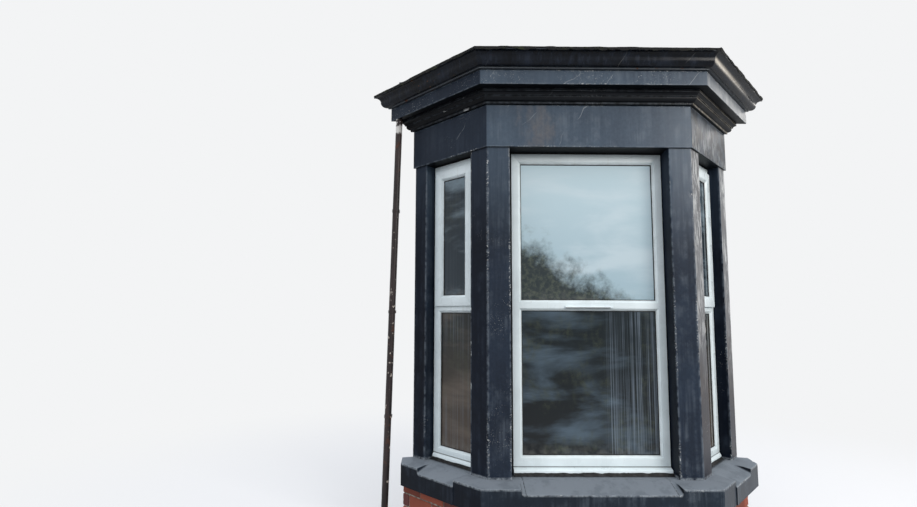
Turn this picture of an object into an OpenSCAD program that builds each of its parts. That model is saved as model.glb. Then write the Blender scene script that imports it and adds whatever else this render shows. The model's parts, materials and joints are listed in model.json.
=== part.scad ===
// A canted bay window: brick base, painted stone sill, mullions and cornice,
// ogee gutter, felted roof, white plastic windows and a rainwater pipe.
// X runs along the house wall, -Y points to the street and Z is up.
// The origin is on the ground, in the middle of the whole bay's box.

/* [Plan] */
// Width of the front between its arrises, at the frieze
front_w = 1375; // [1200:5:1700]
// How far the frieze stands out from the house wall
bay_depth = 520; // [470:5:640]
// Angle between the front and a canted side
cant = 45; // [38:1:50]
// Thickness of the base wall
wall_thick = 225; // [200:5:260]
// How far the brick base stands out past the frieze
base_out = 35; // [10:1:60]

/* [Heights] */
// One course of brick with its joint
course_h = 88; // [70:1:95]
// Courses of brick under the sill
courses = 4; // [2:1:8]
// Height of the sill stones at their stoolings
sill_h = 165; // [130:1:200]
// Height of the mullions
mullion_h = 2150; // [1900:5:2400]
// Height of the frieze
frieze_h = 289; // [200:1:350]
// Height of the bed mould
bed_h = 85; // [70:1:110]
// Height of the corona
corona_h = 97; // [70:1:130]

/* [Sill] */
// How far the sill stands out past the frieze
sill_out = 118; // [105:1:160]
// How far the sill returns past the respond at the wall
sill_return = 60; // [50:1:110]
// Fall of the weathering to the front edge
weather_fall = 46; // [30:1:60]
// Distance behind the frieze at which the weathering starts
weather_from = 16; // [13:1:40]
// Fall of the stoolings from the mullions to the front edge
stooling_fall = 12; // [4:1:20]
// Seat left on a stooling beside the mullion, at the front
stooling_margin = 22; // [10:1:50]
// Seat left on a stooling beside the respond, at the side
side_margin = 56; // [20:1:80]
// Width of the ogee stop at an end of the weathering
stop_w = 38; // [20:1:50]
// Stone left between a stop and the joint beside it
joint_margin = 8; // [4:1:20]
// Distance from a mullion's side to the joint in the side sill
side_joint = 32; // [16:1:60]
// How far the side stones stand out past the corner stones
side_proud = 6; // [0:1:15]
// Width of the drip groove under the sill
drip_w = 14; // [8:1:20]
// Distance of the drip groove from the sill's front
drip_in = 26; // [20:1:40]

/* [Mullions and responds] */
// Distance from the frieze's arris to a window opening
mullion_face = 156; // [120:1:190]
// Face of a respond, measured along the canted side from the wall
respond_face = 135; // [115:1:170]
// How far the mullions stand back behind the frieze
mullion_in = 12; // [4:1:30]

/* [Cornice] */
// Width of the stone ledge that carries the cornice behind the frieze's face
cornice_bed = 90; // [70:1:120]
// How far the corona stands out past the frieze
corona_out = 125; // [110:1:150]
// Projection of the bed mould's lower fillet
bed_fillet = 18; // [10:1:24]
// Height of the bed mould's lower fillet
bed_fillet_h = 14; // [8:1:18]
// Width and height of the step between round and hollow
bed_step = 8; // [4:1:10]
// Radius of the bed mould's quarter round
bed_round = 24; // [16:1:28]
// Radius of the bed mould's hollow
bed_hollow = 20; // [14:1:24]

/* [Gutter] */
// How far the gutter's back stands out past the frieze
gutter_back = 70; // [60:1:72]
// Height of the gutter at its front rim
gutter_h = 98; // [80:1:120]
// Thickness of the cast iron
gutter_wall = 5; // [4:0.5:8]
// How far the lower lip oversails the corona
lip_out = 17; // [8:1:25]
// Height of the lower lip
lip_h = 8; // [6:1:12]
// Step from the lower lip to the belly
lip_step = 4; // [2:1:6]
// Height of the upright rim over the ogee
rim_h = 12; // [8:1:16]
// Share of the ogee's height that the belly takes
belly_share = 0.54; // [0.4:0.01:0.65]
// Projection of the ogee's round belly
belly_w = 38; // [28:1:45]
// Projection of the ogee's hollow top
flare_w = 33; // [24:1:40]
// Thickness of the felt lining
lining_t = 4; // [2:0.5:6]
// How far the lining hangs down over the front rim
lining_lap = 34; // [15:1:40]

/* [Roof] */
// Pitch of the three roof slopes
roof_pitch = 12; // [6:1:18]
// Height of the timber kerb behind the gutter
kerb_h = 92; // [90:1:120]
// Width of the timber kerb
kerb_w = 38; // [30:1:50]
// Thickness of the roof boards
board_t = 25; // [18:1:30]
// Thickness of the roofing felt
felt_t = 4; // [2:0.5:6]
// Clearance between the felt's drip and the gutter's back and lining
felt_clear = 2; // [1:0.5:4]
// Width of a felt strip over a hip
hip_cap_w = 150; // [80:5:200]
// Height of the lead flashing against the wall
flashing_h = 100; // [75:5:150]
// Width of the lead apron on the roof
apron_w = 90; // [60:5:120]
// Thickness of the lead
lead_t = 4; // [2:0.5:5]

/* [Ceiling] */
// Thickness of the ceiling board
ceiling_t = 15; // [9:1:20]
// Width of a ceiling joist
joist_w = 47; // [38:1:60]
// Depth of a ceiling joist
joist_h = 97; // [80:1:125]
// Spacing of the joists
joist_gap = 400; // [360:10:420]

/* [Windows] */
// Depth of the front window's face behind the frieze
front_reveal = 125; // [110:1:130]
// How far the front window sits to the right of the middle
front_shift = 9; // [0:1:9]
// Depth of a side window's face behind the frieze
side_reveal = 88; // [70:1:90]
// Depth of the plastic frames
frame_d = 60; // [50:1:62]
// Gap between frame and stone at each side
side_gap = 15; // [13:1:20]
// Gap between frame and frieze
head_gap = 9; // [5:1:15]
// How far the packing in the gaps lies behind the frame's face
seal_back = 10; // [5:1:20]
// Flat width of an upright of the front frame
frame_flat = 46; // [38:1:56]
// Flat width of the front frame's bottom member
bottom_flat = 56; // [46:1:64]
// Flat width of the front frame's top member
top_flat = 53; // [46:1:64]
// Flat width of an upright of a side frame
side_flat = 44; // [36:1:50]
// Flat width of a side frame's bottom member
side_bottom_flat = 37; // [32:1:50]
// Flat width of a side frame's middle member, under its sash
middle_flat = 31; // [26:1:50]
// Width of a glazing bead
bead_w = 20; // [14:1:24]
// Distance from the frame's face back to the glass
bead_t = 18; // [16:1:20]
// Distance from the frame's face back to the bead's inner edge
bead_edge = 13; // [8:1:14]
// Width of the flat between a bead's slope and the glass
bead_land = 3; // [1:0.5:5]
// Thickness of a sealed glass unit
glass_t = 24; // [20:1:28]
// Clearance round the edge of a glass unit
glass_clear = 3; // [2:1:5]
// Height of the top edge of the cills above the stoolings
cill_h = 45; // [35:1:60]
// How far the front cill stands out in front of its frame
cill_out = 32; // [20:1:45]
// How far the side cills stand out in front of their frames
side_cill_out = 10; // [8:1:30]
// Height of a cill's nose
cill_nose = 31; // [20:1:34]
// Width of the rounded edges of a cill's nose
cill_edge = 4; // [2:1:6]
// Height of the front transom's middle above the stoolings
transom_z = 1099; // [900:1:1200]
// Flat width of the front transom
transom_flat = 38; // [30:1:60]
// Height of a side sash's lower edge above the stoolings
sash_z = 1095; // [900:1:1200]
// Face width of a sash member
sash_face = 60; // [50:1:70]
// How far a sash stands out in front of its frame
sash_proud = 18; // [12:1:22]
// Frame left in view at each side of a sash
sash_inset = 25; // [20:1:32]
// Frame left in view over a sash
sash_head = 45; // [36:1:54]
// How far a sash laps over its frame
sash_lap = 14; // [10:1:18]
// Clearance between sash and frame
sash_clear = 4; // [3:1:6]
// Length of the trickle vent
vent_l = 320; // [200:5:400]
// Height of the trickle vent
vent_h = 16; // [12:1:22]
// How far the trickle vent stands out
vent_out = 12; // [8:1:16]
// Share of the vent's height and depth under its sloping top
vent_share = 0.6; // [0.4:0.05:0.8]

/* [Rainwater pipe] */
// Outside diameter of the pipe
pipe_d = 50; // [44:1:54]
// Wall of the pipe
pipe_wall = 3; // [2:0.5:5]
// Gap between pipe and wall
pipe_gap = 3; // [2:1:15]
// Diameter of the gutter's outlet
outlet_d = 40; // [30:1:42]
// How far the outlet's middle stands out past the frieze
outlet_out = 97; // [96:0.5:98]
// How far the pipe's foot leans away from the bay
pipe_lean = 75; // [0:1:100]
// Gap between the pipe's head and the gutter over it
pipe_head_gap = 2; // [1:0.5:10]
// Height of the lowest pipe clip
clip_low = 810; // [300:10:900]
// Spacing of the pipe clips
clip_gap = 760; // [600:10:900]
// Height of a pipe clip
clip_h = 22; // [16:1:40]
// Thickness of a pipe clip
clip_t = 3; // [2:0.5:3]
// Play between pipe and clip
clip_play = 0.6; // [0.3:0.1:1]

/* [Hidden] */

stone_colour = "#1f2730";
iron_colour = "#16181b";
pipe_colour = "#241d1a";
brick_colour = "#b5573f";
plastic_colour = "#eceef0";
glass_colour = [0.45, 0.55, 0.62, 0.45];

// Levels, from the ground up
base_top = courses * course_h;
sill_top = base_top + sill_h;
mullion_top = sill_top + mullion_h;
frieze_top = mullion_top + frieze_h;
bed_top = frieze_top + bed_h;
corona_top = bed_top + corona_h;
kerb_top = corona_top + kerb_h;

// Plan distances outwards from the frieze's face
inner = base_out - wall_thick;
gutter_lip = corona_out + lip_out;
belly_d = gutter_lip + lip_step;
waist_d = belly_d + belly_w;
flare_d = waist_d + flare_w;
gutter_front_out = flare_d + gutter_wall;
widest = gutter_front_out + lining_t;
side_len = bay_depth / sin(cant);

// The house wall's face is the back of the bay's box
wall_y = (bay_depth + widest) / 2;
// Length of a cut that runs right across the bay, and how far a cut runs on in front of it
far = 4000;
reach = far / 5;
// How far a cut runs on past what it goes through
past = 1;

// Corner of the plan, and its end at the wall, for a face that stands d outwards
function corner(d) = [front_w / 2 + d * tan(cant / 2), -(bay_depth + d)];
function foot(d) = [front_w / 2 + bay_depth / tan(cant) + d / sin(cant), 0];
// A point s along the right-hand side from the frieze's arris, d outwards
function side_pt(s, d) = [front_w / 2 + s * cos(cant) + d * sin(cant),
                          -bay_depth + s * sin(cant) - d * cos(cant)];
function mirror_x(p) = [-p[0], p[1]];
function reversed(list) = [for (i = [len(list) - 1 : -1 : 0]) list[i]];

// A quarter of an ellipse from angle a to angle b, about a centre
function arc(cx, cy, rx, ry, a, b, n = 8) =
    [for (i = [0 : n]) [cx + rx * cos(a + (b - a) * i / n), cy + ry * sin(a + (b - a) * i / n)]];

// A path moved sideways by t to its left, with mitred corners
function unit(v) = v / norm(v);
function left_of(v) = [-v[1], v[0]];
function normal_at(path, i) =
    let (n = len(path) - 1,
         a = left_of(unit(path[max(i, 1)] - path[max(i, 1) - 1])),
         b = left_of(unit(path[min(i, n - 1) + 1] - path[min(i, n - 1)])),
         m = unit(a + b))
    m / (m * a);
function moved(path, t) = [for (i = [0 : len(path) - 1]) path[i] + t * normal_at(path, i)];
function ribbon(path, t) = concat(path, reversed(moved(path, t)));

// The bay is drawn with the house wall at y = 0, then set back to the box's middle
module set_out() translate([0, wall_y, 0]) children();
module right_face() translate([front_w / 2, -bay_depth, 0]) rotate([0, 0, cant]) children();
module front_face() translate([0, -bay_depth, 0]) children();

// A profile of [outwards, height] points drawn out along a face
module run(profile) translate([-far / 2, 0, 0]) rotate([90, 0, 90]) linear_extrude(far)
    polygon([for (p = profile) [-p[0], p[1]]]);

// The share of the plan that belongs to the front, and to the right-hand side
module front_share() linear_extrude(far)
    polygon([mirror_x(corner(reach)), corner(reach), corner(-bay_depth), mirror_x(corner(-bay_depth))]);
module right_share() linear_extrude(far)
    polygon([corner(-bay_depth), corner(reach), [far / 2, -(bay_depth + reach)], [far / 2, 0]]);

// One mitred length of a moulding on each face
module front_length(profile) intersection() { front_face() run(profile); front_share(); }
module right_length(profile) intersection() { right_face() run(profile); right_share(); }
module left_length(profile) mirror([1, 0, 0]) right_length(profile);
module all_lengths(profile) {
    front_length(profile);
    right_length(profile);
    left_length(profile);
}
function box(d0, d1, z0, z1) = [[d0, z0], [d1, z0], [d1, z1], [d0, z1]];

// Brick base
base_profile = box(inner, base_out, 0, base_top);
module brick_base_front() color(brick_colour) set_out() front_length(base_profile);
module brick_base_right() color(brick_colour) set_out() right_length(base_profile);
module brick_base_left() color(brick_colour) set_out() left_length(base_profile);

// Sill: the weathering falls to the front between higher stoolings and dies into them
// with an ogee stop. At the side it starts square at the joint with the corner stone
weather_angle = atan(weather_fall / (sill_out + weather_from));
joint_s = mullion_face + stooling_margin + stop_w + joint_margin;
side_joint_s = mullion_face + side_joint;
opening_half = front_w / 2 - mullion_face;
side_opening_end = side_len - respond_face;

function stop_curve(x, dir) = [for (p = concat(
    arc(0, stop_w / 2, stop_w / 2, stop_w / 2, -90, 0, 6),
    arc(stop_w, stop_w / 2, stop_w / 2, stop_w / 2, 180, 90, 6))) [x + dir * p[0], p[1] * weather_fall / stop_w]];
module weathering(flat0, flat1) translate([0, weather_from, sill_top]) rotate([weather_angle, 0, 0])
    rotate([90, 0, 0]) linear_extrude(reach)
    polygon(concat(stop_curve(flat1, 1), [[flat1 + stop_w, weather_fall * 2], [flat0 - stop_w, weather_fall * 2]],
                   reversed(stop_curve(flat0, -1))));
front_flat = opening_half - stooling_margin - stop_w;
module front_weathering() front_face() weathering(-front_flat, front_flat);
module right_weathering() right_face() weathering(side_joint_s, side_opening_end - side_margin - stop_w);
stooling_slope = [[-mullion_in, sill_top], [-mullion_in, sill_top + sill_h], [reach, sill_top + sill_h],
    [reach, sill_top - stooling_fall * (reach + mullion_in) / (sill_out + mullion_in)]];

// The two drip grooves cross a little where they turn the corner
drip_profile = arc(sill_out - drip_in, base_top, drip_w / 2, drip_w / 2, 0, 180, 8);
drip_cross = drip_w / 8;
module sill_stone(plan) difference() {
    translate([0, 0, base_top]) linear_extrude(sill_h) polygon(plan);
    right_length(stooling_slope);
    right_length(drip_profile);
    children();
}
// Plan of a stone or post that turns the corner, with its length along the front and the side
function corner_plan(d_in, d_out, front_l, side_l) = [
    [front_w / 2 - front_l, -bay_depth - d_out], corner(d_out), side_pt(side_l, d_out),
    side_pt(side_l, d_in), corner(d_in), [front_w / 2 - front_l, -bay_depth - d_in]];

side_sill_out = sill_out + side_proud;
sill_end_x = foot(0)[0] + sill_return;
module right_sill() sill_stone([
    side_pt(side_joint_s, side_sill_out),
    [sill_end_x, (sill_end_x - foot(side_sill_out)[0]) * tan(cant)],
    [sill_end_x, 0], foot(inner), side_pt(side_joint_s, inner)]) right_weathering();
module right_corner_sill() sill_stone(corner_plan(inner, sill_out, joint_s, side_joint_s)) {
    front_weathering();
    front_length(stooling_slope);
    translate([drip_cross, 0, 0]) front_length(drip_profile);
}

module sill_front() color(stone_colour) set_out() difference() {
    intersection() {
        front_length(box(inner, sill_out, base_top, sill_top));
        translate([joint_s - front_w / 2, -far / 2, 0]) cube([front_w - 2 * joint_s, far, far]);
    }
    front_weathering();
    front_length(drip_profile);
}
module sill_corner_right() color(stone_colour) set_out() right_corner_sill();
module sill_corner_left() color(stone_colour) set_out() mirror([1, 0, 0]) right_corner_sill();
module sill_right() color(stone_colour) set_out() right_sill();
module sill_left() color(stone_colour) set_out() mirror([1, 0, 0]) right_sill();

// Mullions on the corners and responds against the wall
module right_mullion() translate([0, 0, sill_top]) linear_extrude(mullion_h)
    polygon(corner_plan(inner, -mullion_in, mullion_face, mullion_face));
module right_respond() translate([0, 0, sill_top]) linear_extrude(mullion_h) intersection() {
    polygon([side_pt(side_opening_end, -mullion_in), side_pt(side_len + reach, -mullion_in),
             side_pt(side_len + reach, -side_len), side_pt(side_opening_end, -side_len)]);
    translate([0, -reach]) square([far / 2, reach]);
}
module mullion_right() color(stone_colour) set_out() right_mullion();
module mullion_left() color(stone_colour) set_out() mirror([1, 0, 0]) right_mullion();
module respond_right() color(stone_colour) set_out() right_respond();
module respond_left() color(stone_colour) set_out() mirror([1, 0, 0]) right_respond();

// Frieze
frieze_profile = box(inner, 0, mullion_top, frieze_top);
module frieze_front() color(stone_colour) set_out() front_length(frieze_profile);
module frieze_right() color(stone_colour) set_out() right_length(frieze_profile);
module frieze_left() color(stone_colour) set_out() left_length(frieze_profile);

// Bed mould: fillet, quarter round, fillet, hollow and fillet
round_d = bed_fillet + bed_round;
hollow_d = round_d + bed_step + bed_hollow;
round_z = frieze_top + bed_fillet_h;
hollow_z = round_z + bed_round + bed_step;
bed_profile = concat(
    [[-cornice_bed, frieze_top], [bed_fillet, frieze_top]],
    arc(bed_fillet, round_z + bed_round, bed_round, bed_round, -90, 0, 6),
    [[round_d, hollow_z], [round_d + bed_step, hollow_z]],
    arc(hollow_d, hollow_z, bed_hollow, bed_hollow, 180, 90, 6),
    [[hollow_d, bed_top], [-cornice_bed, bed_top]]);
module bed_mould_front() color(stone_colour) set_out() front_length(bed_profile);
module bed_mould_right() color(stone_colour) set_out() right_length(bed_profile);
module bed_mould_left() color(stone_colour) set_out() left_length(bed_profile);

// Corona, with the pipe's hole through its left-hand end
corona_profile = box(-cornice_bed, corona_out, bed_top, corona_top);
pipe_y = -(pipe_d / 2 + pipe_gap);
pipe_head_x = foot(outlet_out)[0] + pipe_y / tan(cant);
module corona_front() color(stone_colour) set_out() front_length(corona_profile);
module corona_right() color(stone_colour) set_out() right_length(corona_profile);
module corona_left() color(stone_colour) set_out() difference() {
    left_length(corona_profile);
    leaning_rod(bed_top - pipe_d, corona_top + pipe_d, pipe_d);
}

// Ogee gutter: a round belly below a hollow top, one wall thickness throughout
ogee_h = gutter_h - lip_h - rim_h;
belly_h = ogee_h * belly_share;
flare_h = ogee_h - belly_h;
lip_z = corona_top + lip_h;
waist_z = lip_z + belly_h;
flare_z = waist_z + flare_h;
rim_z = corona_top + gutter_h;
back_z = kerb_top - felt_clear;
ogee = concat(
    arc(belly_d, waist_z, belly_w, belly_h, -90, 0, 8),
    [for (p = arc(flare_d, waist_z, flare_w, flare_h, 180, 90, 8)) if (p[1] > waist_z + 0.01) p]);
outside = concat(
    [[gutter_back, back_z], [gutter_back, corona_top], [gutter_lip, corona_top], [gutter_lip, lip_z]],
    ogee,
    [[gutter_front_out, flare_z], [gutter_front_out, rim_z]]);
channel = moved(outside, gutter_wall);
gutter_profile = concat(outside, reversed(channel));

// The side gutters are closed by a stop end against the wall
module right_gutter() {
    right_length(gutter_profile);
    intersection() {
        right_length(outside);
        translate([0, -gutter_wall, 0]) cube([far, gutter_wall, far]);
    }
}
module gutter_front() color(iron_colour) set_out() front_length(gutter_profile);
module gutter_right() color(iron_colour) set_out() right_gutter();
module gutter_left() color(iron_colour) set_out() difference() {
    mirror([1, 0, 0]) right_gutter();
    outlet_hole();
}
module outlet_hole() translate([-pipe_head_x, pipe_y, corona_top - past])
    cylinder(h = gutter_wall + lining_t + 2 * past, d = outlet_d, $fn = 48);

// Felt lining, laid in the channel and turned down over the rim
lining_path = concat(channel, [[gutter_front_out, rim_z], [gutter_front_out, rim_z - lining_lap]]);
lining_profile = ribbon(lining_path, lining_t);
module gutter_lining() color("#232323") set_out() difference() {
    all_lengths(lining_profile);
    translate([0, -gutter_wall, 0]) difference() {
        translate([-far / 2, 0, corona_top]) cube([far, gutter_wall * 2, gutter_h]);
        all_lengths(box(gutter_front_out, widest, corona_top, rim_z));
    }
    outlet_hole();
}

// Roof: boards on a kerb, felt with its drip in the gutter, and lead at the wall.
// roof_z gives the height of the boards' underside at d
eaves_d = gutter_back;
function roof_z(d) = kerb_top + (eaves_d - d) * tan(roof_pitch);
function slope(d0, d1, lift0, lift1) = [
    [d0, roof_z(d0) + lift0], [d1, roof_z(d1) + lift0], [d1, roof_z(d1) + lift1], [d0, roof_z(d0) + lift1]];
kerb_profile = [[eaves_d - kerb_w, corona_top], [eaves_d, corona_top], [eaves_d, kerb_top],
                [eaves_d - kerb_w, roof_z(eaves_d - kerb_w)]];
felt_edge = gutter_back + gutter_wall + lining_t + felt_clear + felt_t;
module roof_deck() color("#9a7b56") set_out() {
    all_lengths(kerb_profile);
    all_lengths(slope(-bay_depth, eaves_d, 0, board_t));
}
felt_profile = concat(
    [[-bay_depth, roof_z(-bay_depth) + board_t], [felt_edge - felt_t, roof_z(felt_edge - felt_t) + board_t],
     [felt_edge - felt_t, kerb_top], [felt_edge, kerb_top]],
    [[felt_edge, roof_z(felt_edge) + board_t + felt_t], [-bay_depth, roof_z(-bay_depth) + board_t + felt_t]]);
felt_top = board_t + felt_t;
// A strip of the plan along the right-hand hip
module hip_strip() linear_extrude(far) intersection() {
    translate(corner(-bay_depth)) rotate([0, 0, cant / 2 - 90])
        translate([-far / 2, -hip_cap_w / 2]) square([far, hip_cap_w]);
    translate([-far / 2, -far - apron_w]) square([far, far]);
}
module hip_cap() intersection() {
    union() {
        front_length(slope(-bay_depth, felt_edge, felt_top, felt_top + felt_t));
        right_length(slope(-bay_depth, felt_edge, felt_top, felt_top + felt_t));
    }
    hip_strip();
}
module roof_felt() color("#2c2e30") set_out() {
    all_lengths(felt_profile);
    hip_cap();
    mirror([1, 0, 0]) hip_cap();
}
module wall_strip(w) translate([-far / 2, -w, 0]) cube([far, w, far]);
module wall_flashing() color("#7d8286") set_out() {
    intersection() {
        all_lengths(slope(-bay_depth, felt_edge, felt_top, felt_top + lead_t));
        wall_strip(apron_w);
    }
    intersection() {
        all_lengths(slope(-bay_depth, felt_edge, felt_top, felt_top + flashing_h));
        wall_strip(lead_t);
    }
}

// Ceiling board and the joists that rest on the frieze
joist_last = floor((foot(inner)[0] - joist_w) / joist_gap);
module ceiling() color("#e8e4da") set_out() {
    translate([0, 0, frieze_top - ceiling_t]) linear_extrude(ceiling_t)
        polygon([mirror_x(foot(inner)), mirror_x(corner(inner)), corner(inner), foot(inner)]);
    intersection() {
        translate([0, 0, frieze_top]) linear_extrude(joist_h)
            polygon([mirror_x(foot(-cornice_bed)), mirror_x(corner(-cornice_bed)),
                     corner(-cornice_bed), foot(-cornice_bed)]);
        for (i = [-joist_last : joist_last])
            translate([i * joist_gap - joist_w / 2, -far, 0]) cube([joist_w, far, far]);
    }
}

// Windows are drawn with x across, y into the room from the frame's face, and z up
frame_bottom = sill_top + cill_h;
frame_top = mullion_top - head_gap;
front_frame_w = 2 * (opening_half - side_gap);
side_opening = side_opening_end - mullion_face;
side_frame_w = side_opening - 2 * side_gap;
module front_window() translate([front_shift, -bay_depth + front_reveal, 0]) children();
module right_window() right_face() translate([mullion_face + side_opening / 2, side_reveal, 0]) children();

// The glass lies between a bead in front and a rebate behind
front_bead = [[0, 0], [bead_w - bead_land, bead_edge], [bead_w, bead_edge], [bead_w, bead_t], [0, bead_t]];
rear_bead = [[0, bead_t + glass_t], [bead_w, bead_t + glass_t], [0, frame_d]];

// One mitred side of a bead, w long, for a profile of [into the opening, depth] points
module bead_side(w, profile) intersection() {
    translate([-w / 2, 0, 0]) rotate([90, 0, 90]) linear_extrude(w) polygon([for (p = profile) [p[1], p[0]]]);
    rotate([-90, 0, 0]) linear_extrude(frame_d)
        polygon([[-w / 2, 0], [w / 2, 0], [w / 2 - bead_w, -bead_w], [bead_w - w / 2, -bead_w]]);
}
module bead_ring(w, h, z, profile) translate([0, 0, z + h / 2]) for (turn = [0, 90, 180, 270])
    rotate([0, turn, 0]) translate([0, 0, turn % 180 == 0 ? -h / 2 : -w / 2])
        bead_side(turn % 180 == 0 ? w : h, profile);
module plate(w, z0, z1, d) translate([-w / 2, 0, z0]) cube([w, d, z1 - z0]);
module hole(w, z0, z1) translate([0, -past, 0]) plate(w, z0, z1, frame_d + 2 * past);
// A frame of flat members round an opening, with its beads
module glazed_opening(w, z0, z1) {
    bead_ring(w, z1 - z0, z0, front_bead);
    bead_ring(w, z1 - z0, z0, rear_bead);
}
module glass_unit(w, z0, z1) color(glass_colour)
    translate([-w / 2 + glass_clear, bead_t, z0 + glass_clear])
    cube([w - 2 * glass_clear, glass_t, z1 - z0 - 2 * glass_clear]);

// Front window: two fixed lights and a transom
front_light_w = front_frame_w - 2 * frame_flat;
transom_low = sill_top + transom_z - transom_flat / 2;
transom_high = transom_low + transom_flat;
light_low = frame_bottom + bottom_flat;
light_high = frame_top - top_flat;
module front_frame() color(plastic_colour) set_out() front_window() {
    difference() {
        plate(front_frame_w, frame_bottom, frame_top, frame_d);
        hole(front_light_w, light_low, transom_low);
        hole(front_light_w, transom_high, light_high);
    }
    glazed_opening(front_light_w, light_low, transom_low);
    glazed_opening(front_light_w, transom_high, light_high);
}
module front_upper_glass() set_out() front_window() glass_unit(front_light_w, transom_high, light_high);
module front_lower_glass() set_out() front_window() glass_unit(front_light_w, light_low, transom_low);

// Trickle vent: a hood with a sloping top on the transom
module trickle_vent() color(plastic_colour) set_out() front_window()
    translate([-vent_l / 2, 0, transom_low]) rotate([90, 0, 90]) linear_extrude(vent_l)
    polygon([[0, 0], [-vent_out, 0], [-vent_out, vent_h * vent_share], [-vent_out * vent_share, vent_h], [0, vent_h]]);

// Side windows: a top-hung sash over a fixed light
side_light_w = side_frame_w - 2 * side_flat;
side_light_low = frame_bottom + side_bottom_flat;
sash_low = sill_top + sash_z;
sash_high = frame_top - sash_head;
sash_w = side_frame_w - 2 * sash_inset;
side_light_high = sash_low - middle_flat;
hole_inset = sash_lap - sash_clear;
module side_frame() color(plastic_colour) {
    difference() {
        plate(side_frame_w, frame_bottom, frame_top, frame_d);
        hole(side_light_w, side_light_low, side_light_high);
        hole(sash_w - 2 * hole_inset, sash_low + hole_inset, sash_high - hole_inset);
    }
    glazed_opening(side_light_w, side_light_low, side_light_high);
}
sash_light_w = sash_w - 2 * sash_face;
sash_light_low = sash_low + sash_face;
sash_light_high = sash_high - sash_face;
module side_sash() color(plastic_colour) translate([0, -sash_proud, 0]) {
    difference() {
        union() {
            plate(sash_w, sash_low, sash_high, sash_proud);
            plate(sash_w - 2 * sash_lap, sash_low + sash_lap, sash_high - sash_lap, frame_d);
        }
        hole(sash_light_w, sash_light_low, sash_light_high);
    }
    glazed_opening(sash_light_w, sash_light_low, sash_light_high);
}
module side_upper_glass() translate([0, -sash_proud, 0]) glass_unit(sash_light_w, sash_light_low, sash_light_high);
module side_lower_glass() glass_unit(side_light_w, side_light_low, side_light_high);
module on_right() set_out() right_window() children();
module on_left() set_out() mirror([1, 0, 0]) right_window() children();
module right_frame() on_right() side_frame();
module left_frame() on_left() side_frame();
module right_sash() on_right() side_sash();
module left_sash() on_left() side_sash();
module right_upper_glass() on_right() side_upper_glass();
module left_upper_glass() on_left() side_upper_glass();
module right_lower_glass() on_right() side_lower_glass();
module left_lower_glass() on_left() side_lower_glass();

// Cills under the frames, with a sloping top and a nose
module cill(w, out) translate([-w / 2, 0, sill_top]) rotate([90, 0, 90]) linear_extrude(w)
    polygon([[frame_d, 0], [cill_edge - out, 0], [-out, cill_edge], [-out, cill_nose],
             [cill_edge - out, cill_nose + cill_edge], [0, cill_h], [frame_d, cill_h]]);
module window_cills() color(plastic_colour) set_out() {
    front_window() cill(front_frame_w, cill_out);
    right_window() cill(side_frame_w, side_cill_out);
    mirror([1, 0, 0]) right_window() cill(side_frame_w, side_cill_out);
}

// Dark packing in the gap between frame and stone
module seal(w, shift = 0) translate([0, seal_back, 0]) difference() {
    translate([-shift, 0, 0]) plate(w + 2 * side_gap, sill_top, mullion_top, frame_d - 2 * seal_back);
    translate([0, -past, -past]) plate(w, sill_top, frame_top + past, frame_d);
}
module right_seal() intersection() {
    right_window() seal(side_frame_w);
    translate([0, -far, 0]) cube([far, far, far]);
}
module window_seals() color("#1b1b1b") set_out() {
    front_window() seal(front_frame_w, front_shift);
    right_seal();
    mirror([1, 0, 0]) right_seal();
}

// Rainwater pipe: out of the gutter through the corona, then down with a slight lean
pipe_tilt = atan(pipe_lean / corona_top);
function pipe_x(z) = -pipe_head_x - pipe_lean * (corona_top - z) / corona_top;
module leaning_rod(z0, z1, d) translate([pipe_x(z0), pipe_y, z0]) rotate([0, pipe_tilt, 0])
    cylinder(h = (z1 - z0) / cos(pipe_tilt), d = d, $fn = 48);
module downpipe() color(pipe_colour) set_out() intersection() {
    difference() {
        leaning_rod(-pipe_d, corona_top + pipe_d, pipe_d);
        leaning_rod(-2 * pipe_d, corona_top + 2 * pipe_d, pipe_d - 2 * pipe_wall);
    }
    translate([-far / 2, -far / 2, 0]) cube([far, far, corona_top - pipe_head_gap]);
}
// Clips: a strap round the pipe, carried back to the wall
clip_zs = [for (i = [0 : 2]) clip_low + i * clip_gap];
module pipe_clips() color(pipe_colour) set_out() for (z = clip_zs) translate([pipe_x(z), 0, z - clip_h / 2])
    difference() {
        union() {
            translate([0, pipe_y, 0]) cylinder(h = clip_h, d = pipe_d + 2 * clip_t, $fn = 48);
            translate([-pipe_d / 2 - clip_t, pipe_y, 0]) cube([pipe_d + 2 * clip_t, -pipe_y, clip_h]);
        }
        translate([0, pipe_y, -clip_h]) cylinder(h = 3 * clip_h, d = pipe_d + 2 * clip_play, $fn = 48);
    }

brick_base_front();
brick_base_left();
brick_base_right();
sill_front();
sill_corner_left();
sill_corner_right();
sill_left();
sill_right();
mullion_left();
mullion_right();
respond_left();
respond_right();
frieze_front();
frieze_left();
frieze_right();
bed_mould_front();
bed_mould_left();
bed_mould_right();
corona_front();
corona_left();
corona_right();
gutter_front();
gutter_left();
gutter_right();
gutter_lining();
roof_deck();
roof_felt();
wall_flashing();
ceiling();
front_frame();
front_upper_glass();
front_lower_glass();
trickle_vent();
left_frame();
left_sash();
left_upper_glass();
left_lower_glass();
right_frame();
right_sash();
right_upper_glass();
right_lower_glass();
window_cills();
window_seals();
downpipe();
pipe_clips();
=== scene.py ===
import json
import math
import bpy
import numpy as np
from mathutils import Matrix, Vector


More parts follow.
